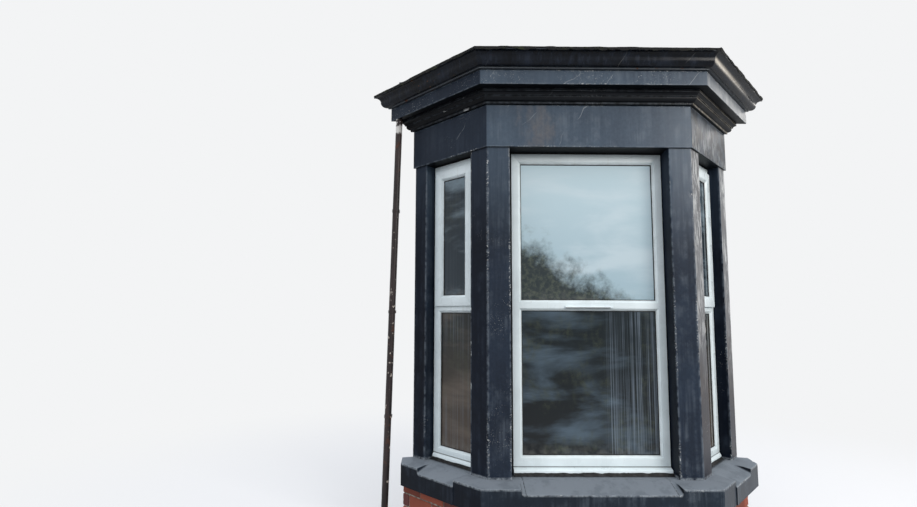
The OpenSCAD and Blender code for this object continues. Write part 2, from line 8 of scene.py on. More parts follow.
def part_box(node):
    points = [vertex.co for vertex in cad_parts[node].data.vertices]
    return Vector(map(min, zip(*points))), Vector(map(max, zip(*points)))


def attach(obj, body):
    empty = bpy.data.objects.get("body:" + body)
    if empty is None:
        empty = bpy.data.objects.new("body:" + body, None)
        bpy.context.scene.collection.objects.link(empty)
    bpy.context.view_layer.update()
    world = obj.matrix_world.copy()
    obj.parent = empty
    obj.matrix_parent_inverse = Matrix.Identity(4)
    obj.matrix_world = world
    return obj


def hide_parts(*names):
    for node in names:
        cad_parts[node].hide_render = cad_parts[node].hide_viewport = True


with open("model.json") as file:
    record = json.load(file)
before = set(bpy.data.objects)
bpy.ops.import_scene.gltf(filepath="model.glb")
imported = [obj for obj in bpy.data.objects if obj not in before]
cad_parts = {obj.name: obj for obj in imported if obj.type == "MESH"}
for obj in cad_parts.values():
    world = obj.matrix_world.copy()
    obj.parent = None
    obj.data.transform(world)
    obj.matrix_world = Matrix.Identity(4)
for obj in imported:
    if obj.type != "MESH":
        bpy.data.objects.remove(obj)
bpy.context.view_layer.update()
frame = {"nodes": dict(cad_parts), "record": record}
nodes = frame["nodes"]
print("Frame loaded:", len(nodes), "pieces of the bay")


# Colours are given as they look on a screen, from 0 to 255, and turned into linear light
def tone(red, green, blue):
    levels = [value / 255 for value in (red, green, blue)]
    return tuple(v / 12.92 if v <= 0.04045 else ((v + 0.055) / 1.055) ** 2.4 for v in levels) + (1.0,)


# One output of a shader node. Its operators add Math nodes
class Value:
    def __init__(self, finish, socket):
        self.finish = finish
        self.socket = socket

    def __add__(self, other):
        return self.finish.math("ADD", self, other)

    def __radd__(self, other):
        return self.finish.math("ADD", other, self)

    def __sub__(self, other):
        return self.finish.math("SUBTRACT", self, other)

    def __rsub__(self, other):
        return self.finish.math("SUBTRACT", other, self)

    def __mul__(self, other):
        return self.finish.math("MULTIPLY", self, other)

    def __rmul__(self, other):
        return self.finish.math("MULTIPLY", other, self)


# The nodes of a material or of the world, its own named tones, and the colour that it has so far
class Finish:
    def __init__(self, name, tones=None, owner=None):
        self.owner = owner or bpy.data.materials.new(name)
        self.owner.use_nodes = True
        self.tree = self.owner.node_tree
        self.tree.nodes.clear()
        self.tones = tones
        self.colour = None

    # Adds a node: its settings first, then the values or links of its sockets
    def node(self, kind, settings=None, sockets=None, output=0):
        made = self.tree.nodes.new(kind)
        for key, value in (settings or {}).items():
            setattr(made, key, value)
        for key, value in (sockets or {}).items():
            if isinstance(value, Value):
                self.tree.links.new(value.socket, made.inputs[key])
            else:
                made.inputs[key].default_value = value
        return Value(self, made.outputs[output]) if made.outputs else None

    def math(self, operation, first, second):
        return self.node("ShaderNodeMath", {"operation": operation}, {0: first, 1: second})

    def most(self, first, *others):
        for other in others:
            first = self.math("MAXIMUM", first, other)
        return first

    def absolute(self, value):
        return self.math("ABSOLUTE", value, 0)

    # A part of the coordinates: 0 is x, 1 is y, 2 is z
    def axis(self, index, source="Object"):
        coordinates = self.node("ShaderNodeTexCoord", output=source)
        return self.node("ShaderNodeSeparateXYZ", None, {0: coordinates}, index)

    def noise(self, scale, detail=3.0, roughness=0.5, stretch=(1, 1, 1), distortion=0.0):
        coordinates = self.node("ShaderNodeTexCoord", output="Object")
        place = self.node("ShaderNodeMapping", None, {"Vector": coordinates, "Scale": stretch})
        sockets = {"Vector": place, "Scale": scale, "Detail": detail,
                   "Roughness": roughness, "Distortion": distortion}
        return self.node("ShaderNodeTexNoise", None, sockets)

    # A value carried smoothly from one range to another, and held inside it
    def between(self, value, start, end, low=0.0, high=1.0):
        settings = {"interpolation_type": "SMOOTHSTEP"}
        return self.node("ShaderNodeMapRange", settings, {0: value, 1: start, 2: end, 3: low, 4: high})

    # Patches of noise: 0 where the noise is under the start, 1 where it is over the end
    def patches(self, start, end, *noise):
        return self.between(self.noise(*noise), start, end)

    def above(self, value, place, blur=0.001):
        return self.between(value, place - blur, place + blur)

    def below(self, value, place, blur=0.001):
        return self.above(value, place, -blur)

    def band(self, value, low, high):
        return self.above(value, low, 0.0005) * self.below(value, high, 0.0005)

    # A mix of two colours. A name stands for one of the finish's own tones
    def mix(self, amount, first, second, blend="MIX"):
        first, second = [self.tones[one] if isinstance(one, str) else one for one in (first, second)]
        settings = {"data_type": "RGBA", "blend_type": blend}
        return self.node("ShaderNodeMix", settings, {0: amount, 6: first, 7: second}, 2)

    # Lays a colour over the one that the finish has so far
    def lay(self, cover, amount, blend="MIX"):
        self.colour = self.mix(amount, self.colour, cover, blend)

    def attribute(self, name):
        return self.node("ShaderNodeAttribute", {"attribute_name": name}, None, 2)

    def bump(self, height, distance):
        return self.node("ShaderNodeBump", None, {"Height": height, "Distance": distance})

    # The shader with its own sockets, led to the output
    def surface(self, **sockets):
        names = {"roughness": "Roughness", "metallic": "Metallic", "normal": "Normal",
                 "coat": "Coat Weight", "coatRoughness": "Coat Roughness", "specular": "Specular IOR Level"}
        values = {names[key]: value for key, value in sockets.items()}
        shader = self.node("ShaderNodeBsdfPrincipled", None, {"Base Color": self.colour, **values})
        self.node("ShaderNodeOutputMaterial", None, {"Surface": shader})
        return self.owner


def lowest(node, axis):
    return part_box(node)[0][axis]


def highest(node, axis):
    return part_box(node)[1][axis]


# The plan of the bay. "out" always means outwards from the frieze's face
plan = {
    "halfFront": highest("frieze_front", 0),
    "faceY": lowest("frieze_front", 1),
    "backY": highest("frieze_left", 1),
    "cant": math.radians(45),
    "mitre": math.tan(math.radians(45) / 2),
    "inner": -0.190,
    "baseOut": 0.035,
    "shadowByCillLines": (-0.093, -0.078),
}
plan["sideLength"] = (plan["backY"] - plan["faceY"]) / math.sin(plan["cant"])
level = {
    "baseTop": highest("brick_base_front", 2),
    "sillTop": highest("sill_left", 2),
    "mullionTop": lowest("frieze_front", 2),
    "friezeTop": highest("frieze_front", 2),
    "bedTop": highest("bed_mould_front", 2),
    "coronaTop": highest("corona_front", 2),
}

# Slate masonry paint on stone. It is greyer high up, nearly black on the sill's faces, paler where it
# looks up, from dust and painted sky light, darker underneath from painted shade, scratched high up,
# chipped to pale stone along the arrises, and flaked in upright runs on the faces that turn right, into
# the weather, which painted light also makes paler
slatePaint = {
    "high": tone(79, 94, 109),
    "highDark": tone(60, 72, 86),
    "middle": tone(41, 54, 71),
    "middleDark": tone(22, 31, 44),
    "low": tone(34, 46, 59),
    "lowDark": tone(22, 31, 41),
    "under": tone(9, 10, 13),
    "dustAndLight": tone(118, 126, 134),
    "darkMottle": tone(106, 114, 122),
    "grimeAndShade": tone(26, 30, 34),
    "brown": tone(97, 98, 102),
    "thinAndHighlight": tone(112, 122, 132),
    "sillHighlightAndDust": tone(158, 166, 172),
    "scratch": tone(158, 164, 168),
    "stone": tone(196, 199, 198),
    "weatheredAndLit": tone(136, 138, 140),
    "shadeRight": tone(122, 119, 121),
    "sideBrown": tone(62, 55, 54),
    "bedGlint": tone(170, 160, 142),
    "flaked": tone(190, 193, 193),
    "plaster": tone(208, 202, 190),
    "bare": tone(150, 138, 120),
    "bareDark": tone(112, 101, 88),
    "shadeLeft": tone(112, 121, 138),
    "brownPlace": -0.35,
    "brownReach": 0.16,
    "flakedFrom": 0.9,
    "flakedFull": 1.8,
    "paleFrom": 1.9,
    "scratchGap": 0.13,
}


# Fine slanting threads: thin lines a gap apart, bent by a slow noise and broken by a quick one
def scratchLines(f, gap):
    slant = f.axis(0) - 0.75 * f.axis(2) + 0.3 * f.noise(2.7, 3)
    across = f.math("PINGPONG", slant, gap)
    broken = f.patches(0.48, 0.56, 7, 3) * f.patches(0.43, 0.56, 1.7, 2, 0.5, (1, 1, 3))
    return f.between(across, 0.0024, 0.0008) * broken


def makeSlatePaint():
    s = slatePaint
    f = Finish("slatePaint", s)
    x, z = f.axis(0), f.axis(2)
    up, turned, edge = f.attribute("up"), f.attribute("turned"), f.attribute("edge")
    inside, cut = f.attribute("inside"), f.attribute("cut")
    patches = f.patches(0.36, 0.66, 2.3, 5, 0.55)
    streaks = f.patches(0.36, 0.7, 1.0, 5, 0.62, (30, 30, 1.5))
    blotches = f.patches(0.42, 0.68, 9, 5, 0.6)
    fine = f.patches(0.3, 0.75, 46, 4, 0.7)
    amount = 0.5 * patches + 0.2 * streaks + 0.3 * fine
    isHigh = f.above(z, level["mullionTop"])
    isLow = f.below(z, level["sillTop"], 0.002)
    onCorona = f.above(z, level["bedTop"])

    # The first colour of each height, with a brown patch on the frieze, shaded on the left
    away = f.absolute(x - s["brownPlace"]) + 0.5 * (f.noise(1.0, 5, 0.65, (7, 7, 4.5)) - 0.5)
    rust = f.between(away, s["brownReach"], 0.04) * f.patches(0.32, 0.6, 1.0, 4, 0.6, (16, 16, 7))
    rust = rust * f.below(z, level["friezeTop"], 0.002)
    high = f.mix(rust * (0.45 + 0.55 * fine), f.mix(amount, "highDark", "high"), "brown")
    paler = f.between(z, s["paleFrom"], level["mullionTop"]) * (0.6 + 0.3 * streaks)
    f.colour = f.mix(isHigh, f.mix(paler, f.mix(amount, "middleDark", "middle"), "high"), high)
    f.lay(f.mix(amount, "lowDark", "low"), isLow)
    f.lay("thinAndHighlight", streaks * blotches * 0.35)
    left = f.between(turned, -0.2, -0.6)
    f.lay("shadeLeft", f.most(f.between(x, 0.3, -0.7) * (0.3 - 0.22 * isHigh), left * 0.9), "MULTIPLY")

    # The faces that turn right: brown below, and further up paler, from weathering and painted light, with
    # painted shade on the frieze, and flaked
    right = f.between(turned, 0.3, 0.68) * (1.0 - isLow) * f.between(x, 0.3, 0.6)
    weatheredAndLit = right * f.between(z, s["flakedFrom"], s["flakedFull"])
    runs = f.patches(0.49, 0.57, 1.0, 5, 0.7, (46, 46, 9)) * f.patches(0.38, 0.54, 2.6, 3)
    f.lay("sideBrown", right * (1.0 - isHigh) * (0.35 + 0.6 * patches))
    f.lay("weatheredAndLit", weatheredAndLit * (0.75 - 0.65 * isHigh + 0.75 * onCorona) * (0.5 + 0.5 * streaks))
    f.lay("shadeRight", weatheredAndLit * isHigh * (1.0 - onCorona) * (0.5 + 0.9 * blotches), "MULTIPLY")
    f.lay("flaked", weatheredAndLit * runs * (0.9 - 0.55 * isHigh))

    # Painted shade darkens the undersides and the whole bed mould, and what looks up is paler, from dust
    # and painted sky light
    bed = f.above(z, level["friezeTop"]) * f.below(z, level["bedTop"])
    under = f.most(bed, f.between(up, -0.35, -0.8))
    facingUp = f.between(up, 0.35, 0.8)
    f.lay("under", under * 0.95)
    # A painted highlight along the arrises of the bed mould on the right
    f.lay("bedGlint", bed * weatheredAndLit * edge * (0.15 + 0.6 * streaks))
    f.lay(f.mix(f.between(blotches + 0.5 * fine, 0.2, 1.3), "dustAndLight", "darkMottle"), facingUp)

    # Paler arrises, worn and with a painted highlight, dust at the feet of the posts, a painted shadow in
    # front of the cills, scratches, flecks and chips
    f.lay("thinAndHighlight", edge * f.patches(0.35, 0.65, 24, 3) * (0.55 - 0.35 * under))
    # A painted highlight along the sill's arrises, and dust at the feet of the posts
    feet = f.between(z, level["sillTop"] + 0.02, level["sillTop"] + 0.006) * (1.0 - isLow)
    f.lay("sillHighlightAndDust", f.most(edge * isLow * (1.0 - under), feet) * fine * 0.8)
    # Painted shadow, with some grime, on the sill just in front of the cills
    f.lay("grimeAndShade", f.attribute("shadowByCill") * facingUp * (0.5 + 0.5 * fine))
    f.lay("scratch", scratchLines(f, s["scratchGap"]) * isHigh * (0.6 - 0.5 * under))
    dots = f.patches(0.715, 0.745, 190, 1) * f.between(f.noise(3.3, 2) + 0.2 * onCorona, 0.58, 0.72)
    nicks = edge * f.patches(0.58, 0.64, 115, 2) * f.patches(0.5, 0.6, 1.7, 2)
    chipped = f.between(f.attribute("wear"), 0.78, 0.9)
    f.lay("stone", f.most(f.most(dots, nicks) * (0.9 - 0.7 * under), chipped * 0.8))

    # The hidden inner side is plastered, and bare stone shows at the cut ends
    f.lay(f.mix(blotches * 0.3, "plaster", "bare"), f.above(inside, 0.5, 0.1))
    f.lay(f.mix(f.noise(70, 5, 0.7), "bareDark", "bare"), f.above(cut, 0.5, 0.1))
    dull = f.most(inside, cut, facingUp, chipped)
    grain = f.noise(70, 6, 0.68) + 0.4 * f.noise(11, 3)
    return f.surface(roughness=f.between(dull + 0.35 * patches, 0, 1.35, 0.45, 0.85), specular=0.08,
                     coat=0.22 * (1.0 - dull) * (1.0 - 0.75 * under) * (1.0 - 0.7 * left),
                     coatRoughness=0.24, normal=f.bump(grain, 0.0007))


# Red facing bricks, each with its own tone, in pale pointing. The cut ends show the courses, and the
# hidden inner side is plastered
brickColours = {
    "dark": tone(108, 60, 51),
    "red": tone(158, 88, 70),
    "pale": tone(186, 122, 96),
    "purple": tone(104, 68, 68),
    "mortar": tone(176, 168, 156),
    "dirty": tone(110, 102, 94),
    "darkMottle": tone(70, 58, 54),
    "plaster": tone(208, 202, 190),
    "halfCourse": 0.044,
}


def makeBrickFace():
    f = Finish("redBrick", brickColours)
    chance, z, grain = f.attribute("brickTone"), f.axis(2), f.noise(90, 5, 0.7)
    f.colour = f.mix(f.between(chance + 0.25 * f.noise(9, 3), 0.1, 0.75), "dark", "red")
    f.lay("pale", f.between(chance, 0.72, 0.95))
    f.lay("purple", f.between(chance, 0.14, 0.05) * 0.7)
    f.lay("pale", f.between(grain, 0.62, 0.75) * 0.5)
    f.lay("darkMottle", f.between(grain, 0.36, 0.25) * 0.6)
    inCourse = f.math("PINGPONG", z, brickColours["halfCourse"])
    courses = f.between(inCourse, 0.006, 0.004) * f.attribute("core")
    joint = f.most(f.between(f.attribute("mortar"), 0.35, 0.6), courses)
    f.lay(f.mix(f.patches(0.4, 0.7, 30, 4), "dirty", "mortar"), joint)
    # Darker towards the bottom of the base, in patches
    f.lay("darkMottle", f.between(z, 0.24, 0.02) * f.patches(0.3, 0.7, 5, 4) * 0.45)
    plaster = f.mix(f.patches(0.42, 0.68, 9, 5, 0.6) * 0.3, "plaster", "mortar")
    f.lay(plaster, f.between(f.attribute("inside"), 0.93, 0.95))
    bump = f.bump(grain + 0.6 * f.noise(24, 4), 0.0012)
    return f.surface(roughness=f.between(grain, 0.3, 0.7, 0.72, 0.92), normal=bump, specular=0.25)


# Black gloss on cast iron, with paler arrises, threads of cobweb, runs of dirt and rust in the pits. A
# paler line along the lip is a painted highlight, the dull runs and patches are dirt and painted sheen, the
# right leg is laid back towards black as painted shade, and a pale band at its waist is a painted highlight
iron = {
    "glossAndShade": tone(9, 13, 20),
    "dull": tone(42, 50, 64),
    "dustAndLight": tone(92, 98, 104),
    "rust": tone(92, 58, 38),
    "web": tone(120, 122, 122),
    "webGap": 0.21,
    "lipHighlightTop": 0.0085,
    "paleTone": tone(228, 221, 208),
    "gleamAt": 0.049,
    "gleamReach": 0.025,
}


def makeIron():
    f = Finish("gutterIron", iron)
    x, wear, edge = f.axis(0), f.attribute("wear"), f.attribute("edge")
    z = f.axis(2) - level["coronaTop"]
    runs = f.patches(0.42, 0.72, 1, 4, 0.6, (34, 34, 3))
    cloud = f.patches(0.4, 0.7, 6, 4)
    right = f.between(f.attribute("turned"), 0.4, 0.68) * f.between(x, 0.4, 0.6)
    # The dull runs and patches are paler: dirt, and painted sheen
    f.colour = f.mix(runs * 0.45 + cloud * 0.4, "glossAndShade", "dull")
    f.lay("dustAndLight", f.between(f.attribute("up"), 0.2, 0.9) * f.patches(0.3, 0.6, 20, 4) * 0.7)
    # Paler arrises, and a painted highlight along the lip
    f.lay("dustAndLight", f.most(edge * 0.35, f.below(z, iron["lipHighlightTop"]) * 0.85))
    # Painted shade: the right leg is laid back towards gloss black
    f.lay("glossAndShade", right * 0.8)
    f.lay("rust", f.between(wear, 0.45, 0.65))
    f.lay("web", scratchLines(f, iron["webGap"]) * 0.6)
    # Painted highlight: a pale band along the waist of the right leg, fading away from the mitre
    waist = f.between(f.absolute(z - iron["gleamAt"]), iron["gleamReach"], 0.002)
    paleTone = waist * right * f.between(x, 1.4, 0.75)
    f.lay("paleTone", paleTone * (0.5 + 0.8 * f.noise(1, 4, 0.7, (60, 60, 6))))
    roughness = f.between(runs + cloud + wear, 0, 1.6, 0.2, 0.36)
    grain = f.noise(16, 2) + 0.1 * f.noise(130, 3)
    return f.surface(roughness=roughness, normal=f.bump(grain, 0.0003), specular=0.13)


# Mineral felt: granules over dark bitumen, moss and silt. The lining is wetter, darker and mossier
felt = {
    "dark": tone(22, 23, 24),
    "granule": tone(88, 88, 88),
    "moss": tone(60, 66, 42),
    "silt": tone(96, 91, 80),
    "fleck": tone(170, 170, 164),
}


def makeFelt(name, mossy, base):
    f = Finish(name, felt)
    granules = f.noise(420, 2, 0.6)
    moss = f.patches(0.5, 0.68, 13, 5, 0.65)
    f.colour = f.mix(f.between(granules, 0.42, 0.62) * base, "dark", "granule")
    f.lay("moss", moss * mossy)
    f.lay("silt", f.patches(0.52, 0.75, 4.5, 5, 0.6) * 0.55 * base)
    f.lay("fleck", f.patches(0.75, 0.79, 60, 2) * 0.7)
    height = granules + 1.4 * f.noise(40, 4) + 2.0 * moss
    return f.surface(roughness=0.9, normal=f.bump(height, 0.0022), specular=0.15)


# Lead: grey patina with pale runs below its upper edge and small dressing dents
lead = {
    "grey": tone(116, 121, 126),
    "dark": tone(84, 89, 95),
    "bloom": tone(172, 176, 178),
}


def makeLead():
    f = Finish("leadSheet", lead)
    runs = f.patches(0.5, 0.72, 1, 4, 0.6, (40, 40, 4))
    f.colour = f.mix(f.patches(0.35, 0.65, 5, 5), "dark", "grey")
    f.lay("bloom", runs * 0.6)
    bump = f.bump(f.noise(18, 3) + 0.4 * f.noise(60, 3), 0.003)
    return f.surface(roughness=f.between(runs, 0, 1, 0.42, 0.66), metallic=0.35, normal=bump)


# Sawn softwood: grain drawn out along the boards, with knots and dark joints
timber = {
    "pale": tone(180, 150, 112),
    "dark": tone(146, 116, 80),
    "knot": tone(104, 76, 50),
    "grain": (60, 3, 60),
    "board": 0.100,
    "paint": tone(222, 218, 208),
    "stain": tone(196, 184, 160),
}


def layTimber(f):
    grain = f.noise(1, 6, 0.6, timber["grain"], 0.8)
    f.colour = f.mix(f.between(grain, 0.36, 0.64), "dark", "pale")
    f.lay("knot", f.patches(0.74, 0.8, 5, 2))
    return grain


def makeRoofTimber():
    f = Finish("roofTimber", timber)
    grain = layTimber(f)
    joint = f.between(f.math("PINGPONG", f.axis(0), timber["board"] / 2), 0.0022, 0.0008)
    f.lay("knot", joint * 0.85)
    return f.surface(roughness=0.8, normal=f.bump(grain - joint, 0.0012), specular=0.3)


# The ceiling board is painted, and the joists over it are bare timber
def makeCeiling():
    f = Finish("ceilingBoard", timber)
    grain = layTimber(f)
    over = f.above(f.axis(2), level["friezeTop"], 0.0005)
    f.lay(f.mix(f.patches(0.55, 0.7, 2.4, 5, 0.6) * 0.6, "paint", "stain"), 1.0 - over)
    bump = f.bump(grain * over + 0.3 * f.noise(120, 3), 0.0008)
    return f.surface(roughness=0.82, normal=bump, specular=0.3)


# White window plastic, a little chalky, darker deeper in the grooves from grime and painted shade, with
# runs below the corners, a dark joint where the cill meets the frame, and painted shade on the lower part
# of the vent's hood
plastic = {
    "white": tone(232, 244, 247),
    "paleTone": tone(220, 232, 235),
    "grimeAndShade": tone(140, 144, 140),
    "run": tone(200, 205, 203),
    "joint": tone(96, 98, 96),
    "jointAt": (0.5615, 0.569),
    "ventShadowAt": (1.5965, 1.6045),
    "ventShadowEnd": (0.156, 0.146),
}


def makePlastic():
    f = Finish("whitePlastic", plastic)
    f.colour = f.mix(f.patches(0.4, 0.65, 3.2, 4), "paleTone", "white")
    f.lay("run", f.patches(0.55, 0.78, 1, 4, 0.6, (46, 46, 2.5)) * 0.4)
    # Darker deeper in the grooves towards the glass: grime, and painted shade
    f.lay("grimeAndShade", f.between(f.attribute("recess"), 0.15, 0.9) * f.patches(0.25, 0.7, 16, 4) * 0.55)
    # A dark joint line just above the cill, and painted shade along the lower part of the vent's hood
    z, vent = f.axis(2), f.between(f.absolute(f.axis(0)), *plastic["ventShadowEnd"])
    f.lay("joint", f.most(f.band(z, *plastic["jointAt"]), f.band(z, *plastic["ventShadowAt"]) * vent) * 0.75)
    f.lay("grimeAndShade", f.patches(0.75, 0.79, 150, 2) * 0.6)
    roughness = f.between(f.noise(7, 3), 0.35, 0.65, 0.24, 0.42)
    return f.surface(roughness=roughness, normal=f.bump(f.noise(240, 2), 0.0001), specular=0.4)


# Glass is opaque and glossy: a colour at the head and one at the foot of each light, pale in the upper
# front lights as a painted reflection of the sky and dark in the others as painted shade, level clouds and
# a dim mottled corner that are painted reflections, soft upright bands and a film of dust
glass = {
    "dim": tone(14, 24, 25),
    "warm": tone(70, 76, 60),
    "band": tone(124, 138, 152),
    "film": tone(150, 152, 146),
    "corner": 0.0,
    "warmth": 0.3,
    "bandsFrom": -2.0,
    "specular": 0.25,
}
lights = {
    "frontUpper": {"head": tone(191, 213, 221), "foot": tone(166, 191, 202), "cloud": tone(209, 223, 229),
                   "low": 1.635, "high": 2.605, "clouds": 0.55, "bands": 0.0, "corner": 0.95,
                   "warmth": 0.0, "specular": 0.28},
    "frontLower": {"head": tone(18, 29, 34), "foot": tone(24, 29, 32), "cloud": tone(100, 120, 136),
                   "low": 0.618, "high": 1.597, "clouds": 0.62, "bands": 0.85, "bandsFrom": 0.1,
                   "warmth": 0.55, "specular": 0.22},
    "sideUpper": {"head": tone(30, 42, 51), "foot": tone(40, 52, 60), "cloud": tone(124, 142, 152),
                  "low": 1.672, "high": 2.553, "clouds": 0.95, "bands": 0.12},
    "sideLower": {"head": tone(36, 40, 40), "foot": tone(76, 66, 57), "cloud": tone(108, 98, 88),
                  "low": 0.599, "high": 1.581, "clouds": 0.6, "bands": 0.35},
}


def makeGlass(name):
    g = {**glass, **lights[name]}
    f = Finish(name + "Glass", g)
    x, z, mottle = f.axis(0), f.axis(2), f.noise(3.2, 6, 0.68)
    # Head and foot: a painted reflection of the sky in the upper front lights, painted shade in the dark
    # ones
    f.colour = f.mix(f.between(z, g["low"], g["high"]), "foot", "head")
    # Level clouds: painted reflections
    f.lay("cloud", f.patches(0.44, 0.68, 1.0, 5, 0.55, (1.3, 1.3, 4.5), 0.3) * g["clouds"])
    f.lay("warm", f.between(mottle, 0.46, 0.66) * f.patches(0.35, 0.65, 26, 4, 0.7) * g["warmth"])
    # The dim mottled corner: a painted reflection
    slant = (z - g["low"]) + 0.62 * (x + 0.42) + 0.75 * (mottle - 0.5)
    cornerReflection = f.mix(f.patches(0.42, 0.66, 28, 4, 0.7) * 0.8, "dim", "warm")
    f.lay(cornerReflection, f.between(slant, 0.53, 0.31) * g["corner"])
    bands = f.patches(0.42, 0.76, 1, 4, 0.6, (120, 120, 0.5), 0.25) * f.patches(0.25, 0.6, 2.6, 3)
    f.lay("band", bands * f.between(x, g["bandsFrom"], g["bandsFrom"] + 0.06) * g["bands"])
    f.lay("film", f.between(z, g["low"] + 0.12, g["low"]) * f.patches(0.35, 0.7, 22, 5) * 0.2)
    return f.surface(roughness=f.between(f.noise(12, 4), 0.4, 0.7, 0.03, 0.09), specular=g["specular"])


# Brown-grey paint on the rainwater pipe, flaked to rust and to pale primer, with a splash of white
pipePaint = {
    "paint": tone(54, 44, 44),
    "dark": tone(27, 23, 24),
    "rust": tone(92, 60, 46),
    "pale": tone(178, 170, 160),
    "splash": tone(222, 220, 216),
    "splashAt": 2.962,
}


def makePipePaint():
    f = Finish("pipePaint", pipePaint)
    z, rust = f.axis(2), f.patches(0.58, 0.7, 17, 5, 0.65)
    f.colour = f.mix(f.patches(0.36, 0.66, 1, 5, 0.6, (24, 24, 2.5)), "dark", "paint")
    f.lay("rust", rust * 0.7)
    flakes = f.patches(0.66, 0.7, 34, 3) * f.patches(0.44, 0.6, 2.2, 2)
    spots = f.patches(0.675, 0.7, 26, 1) * f.between(z, 2.1, 1.3)
    f.lay("pale", f.most(flakes, spots))
    height = z - pipePaint["splashAt"]
    splash = f.between(f.absolute(height) + 0.04 * f.noise(38, 2), 0.056, 0.042)
    drip = f.between(height, 0, 0.02) * f.patches(0.5, 0.56, 42, 2)
    f.lay("splash", f.most(splash, drip * 0.7))
    bump = f.bump(f.noise(48, 5, 0.65) + rust, 0.0009)
    return f.surface(roughness=f.between(rust, 0, 1, 0.42, 0.8), normal=bump, specular=0.3)


# Black rubber and mastic, dusty in places
def makeRubber():
    f = Finish("blackSeal")
    f.colour = f.mix(f.patches(0.4, 0.75, 30, 4), tone(16, 17, 18), tone(46, 47, 48))
    return f.surface(roughness=0.6, normal=f.bump(f.noise(90, 3), 0.0006), specular=0.3)


materials = {
    "painted_stone": makeSlatePaint(),
    "brick": makeBrickFace(),
    "gutter_iron": makeIron(),
    "roofing_felt": makeFelt("roofingFelt", 0.4, 0.9),
    "lining_felt": makeFelt("liningFelt", 0.45, 0.24),
    "roof_timber": makeRoofTimber(),
    "lead": makeLead(),
    "ceiling_board": makeCeiling(),
    "white_plastic": makePlastic(),
    "seal": makeRubber(),
    "pipe_iron": makePipePaint(),
    "front_upper_glass": makeGlass("frontUpper"),
    "front_lower_glass": makeGlass("frontLower"),
    "upper_glass": makeGlass("sideUpper"),
    "lower_glass": makeGlass("sideLower"),
}
for row in frame["record"]["subparts"]:
    name, finish = row["node"], row["material_slot"]
    if "glass" in name:
        finish = name if name in materials else name.split("_", 1)[1]
    for slot in nodes[name].material_slots:
        slot.material = materials[finish]
print("Materials made")


# Leg 0 is the left side, 1 the front and 2 the right side. Each leg is a straight line whose two
# ends move with "out", so that neighbouring legs meet in a mitre, and t runs from 0 to 1 along it
def planPoint(leg, t, out):
    cornerX, cornerY = plan["halfFront"] + out * plan["mitre"], plan["faceY"] - out
    run = (plan["backY"] - plan["faceY"]) / math.tan(plan["cant"])
    footX, footY = plan["halfFront"] + run + out / math.sin(plan["cant"]), plan["backY"]
    line = ((-footX, footY), (-cornerX, cornerY), (cornerX, cornerY), (footX, footY))
    (x, y), (endX, endY) = line[leg:leg + 2]
    return x + (endX - x) * t, y + (endY - y) * t


def legLength(leg, out=0.0):
    return math.dist(planPoint(leg, 0.0, out), planPoint(leg, 1.0, out))


# Point of the right side, s along it from the frieze's arris. sign is 1 on the right, -1 on the left
def sidePoint(s, out, sign=1):
    along, across = math.cos(plan["cant"]), math.sin(plan["cant"])
    x = plan["halfFront"] + s * along + out * across
    return sign * x, plan["faceY"] + s * across - out * along


def smoothStep(value, start, end):
    part = np.clip((value - start) / (end - start), 0, 1)
    return part * part * (3 - 2 * part)


# A fixed random number from 0 to 1 for each whole number
def scrambled(key):
    key = key & 0xFFFFFFFF
    key = ((key ^ (key >> 15)) * 2246822519) & 0xFFFFFFFF
    key = ((key ^ (key >> 13)) * 3266489917) & 0xFFFFFFFF
    return (key ^ (key >> 16)) / 0xFFFFFFFF


# Smooth random values: every corner of a lattice has a fixed random number, and a point blends the
# eight corners round it with the weight 3t^2 - 2t^3
def lattice(points, size, seed):
    cell = points / size
    low = np.floor(cell).astype(np.int64)
    part = smoothStep(cell - low, 0, 1)
    total = np.zeros(len(points))
    for corner in np.ndindex(2, 2, 2):
        x, y, z = (low + corner).T
        key = (x * 73856093) ^ (y * 19349663) ^ (z * 83492791) ^ (seed * 2654435761)
        total += np.prod(np.where(corner, part, 1 - part), axis=1) * scrambled(key)
    return total


# Points of a grid, from x, y and z that are stretched to one shape
def gridPoints(x, y, z):
    return np.stack(np.broadcast_arrays(x, y, z), axis=-1)


# Quads of a grid of points laid row by row. A closed grid joins its last column to its first, and
# a looped one its last row to its first
def gridFaces(rows, columns, closed=False, looped=False, start=0):
    i, j = np.meshgrid(np.arange(rows - (not looped)), np.arange(columns - (not closed)), indexing="ij")
    after, below = (j + 1) % columns, (i + 1) % rows
    corners = (i * columns + j, below * columns + j, below * columns + after, i * columns + after)
    return np.stack([c.ravel() for c in corners], axis=1) + start


# A solid from rows of points, where each row is a closed outline and the first and last are its ends
def capped(points):
    rows, count = points.shape[:2]
    outline = tuple(range(count))
    last = tuple(range(rows * count - 1, (rows - 1) * count - 1, -1))
    return points.reshape(-1, 3), list(gridFaces(rows, count, closed=True)) + [outline, last]


# A solid from rows of points whose columns and rows both run round and meet
def wrapped(points):
    return points.reshape(-1, 3), gridFaces(*points.shape[:2], closed=True, looped=True)


# Six times the volume inside a closed mesh, from the fans of its faces. It is negative inside out
def signedVolume(points, faces):
    total = 0.0
    for size in {len(face) for face in faces}:
        same = points[np.array([face for face in faces if len(face) == size])]
        for k in range(1, size - 1):
            total += np.sum(same[:, 0] * np.cross(same[:, k], same[:, k + 1]))
    return total


# Several closed shells as one mesh, each turned outwards
def together(shells):
    points, faces, made = [], [], 0
    for shellPoints, shellFaces in shells:
        shellFaces = [tuple(face) for face in shellFaces]
        if signedVolume(shellPoints, shellFaces) < 0:
            shellFaces = [face[::-1] for face in shellFaces]
        faces += [tuple(index + made for index in face) for face in shellFaces]
        points.append(shellPoints)
        made += len(shellPoints)
    return np.concatenate(points), faces


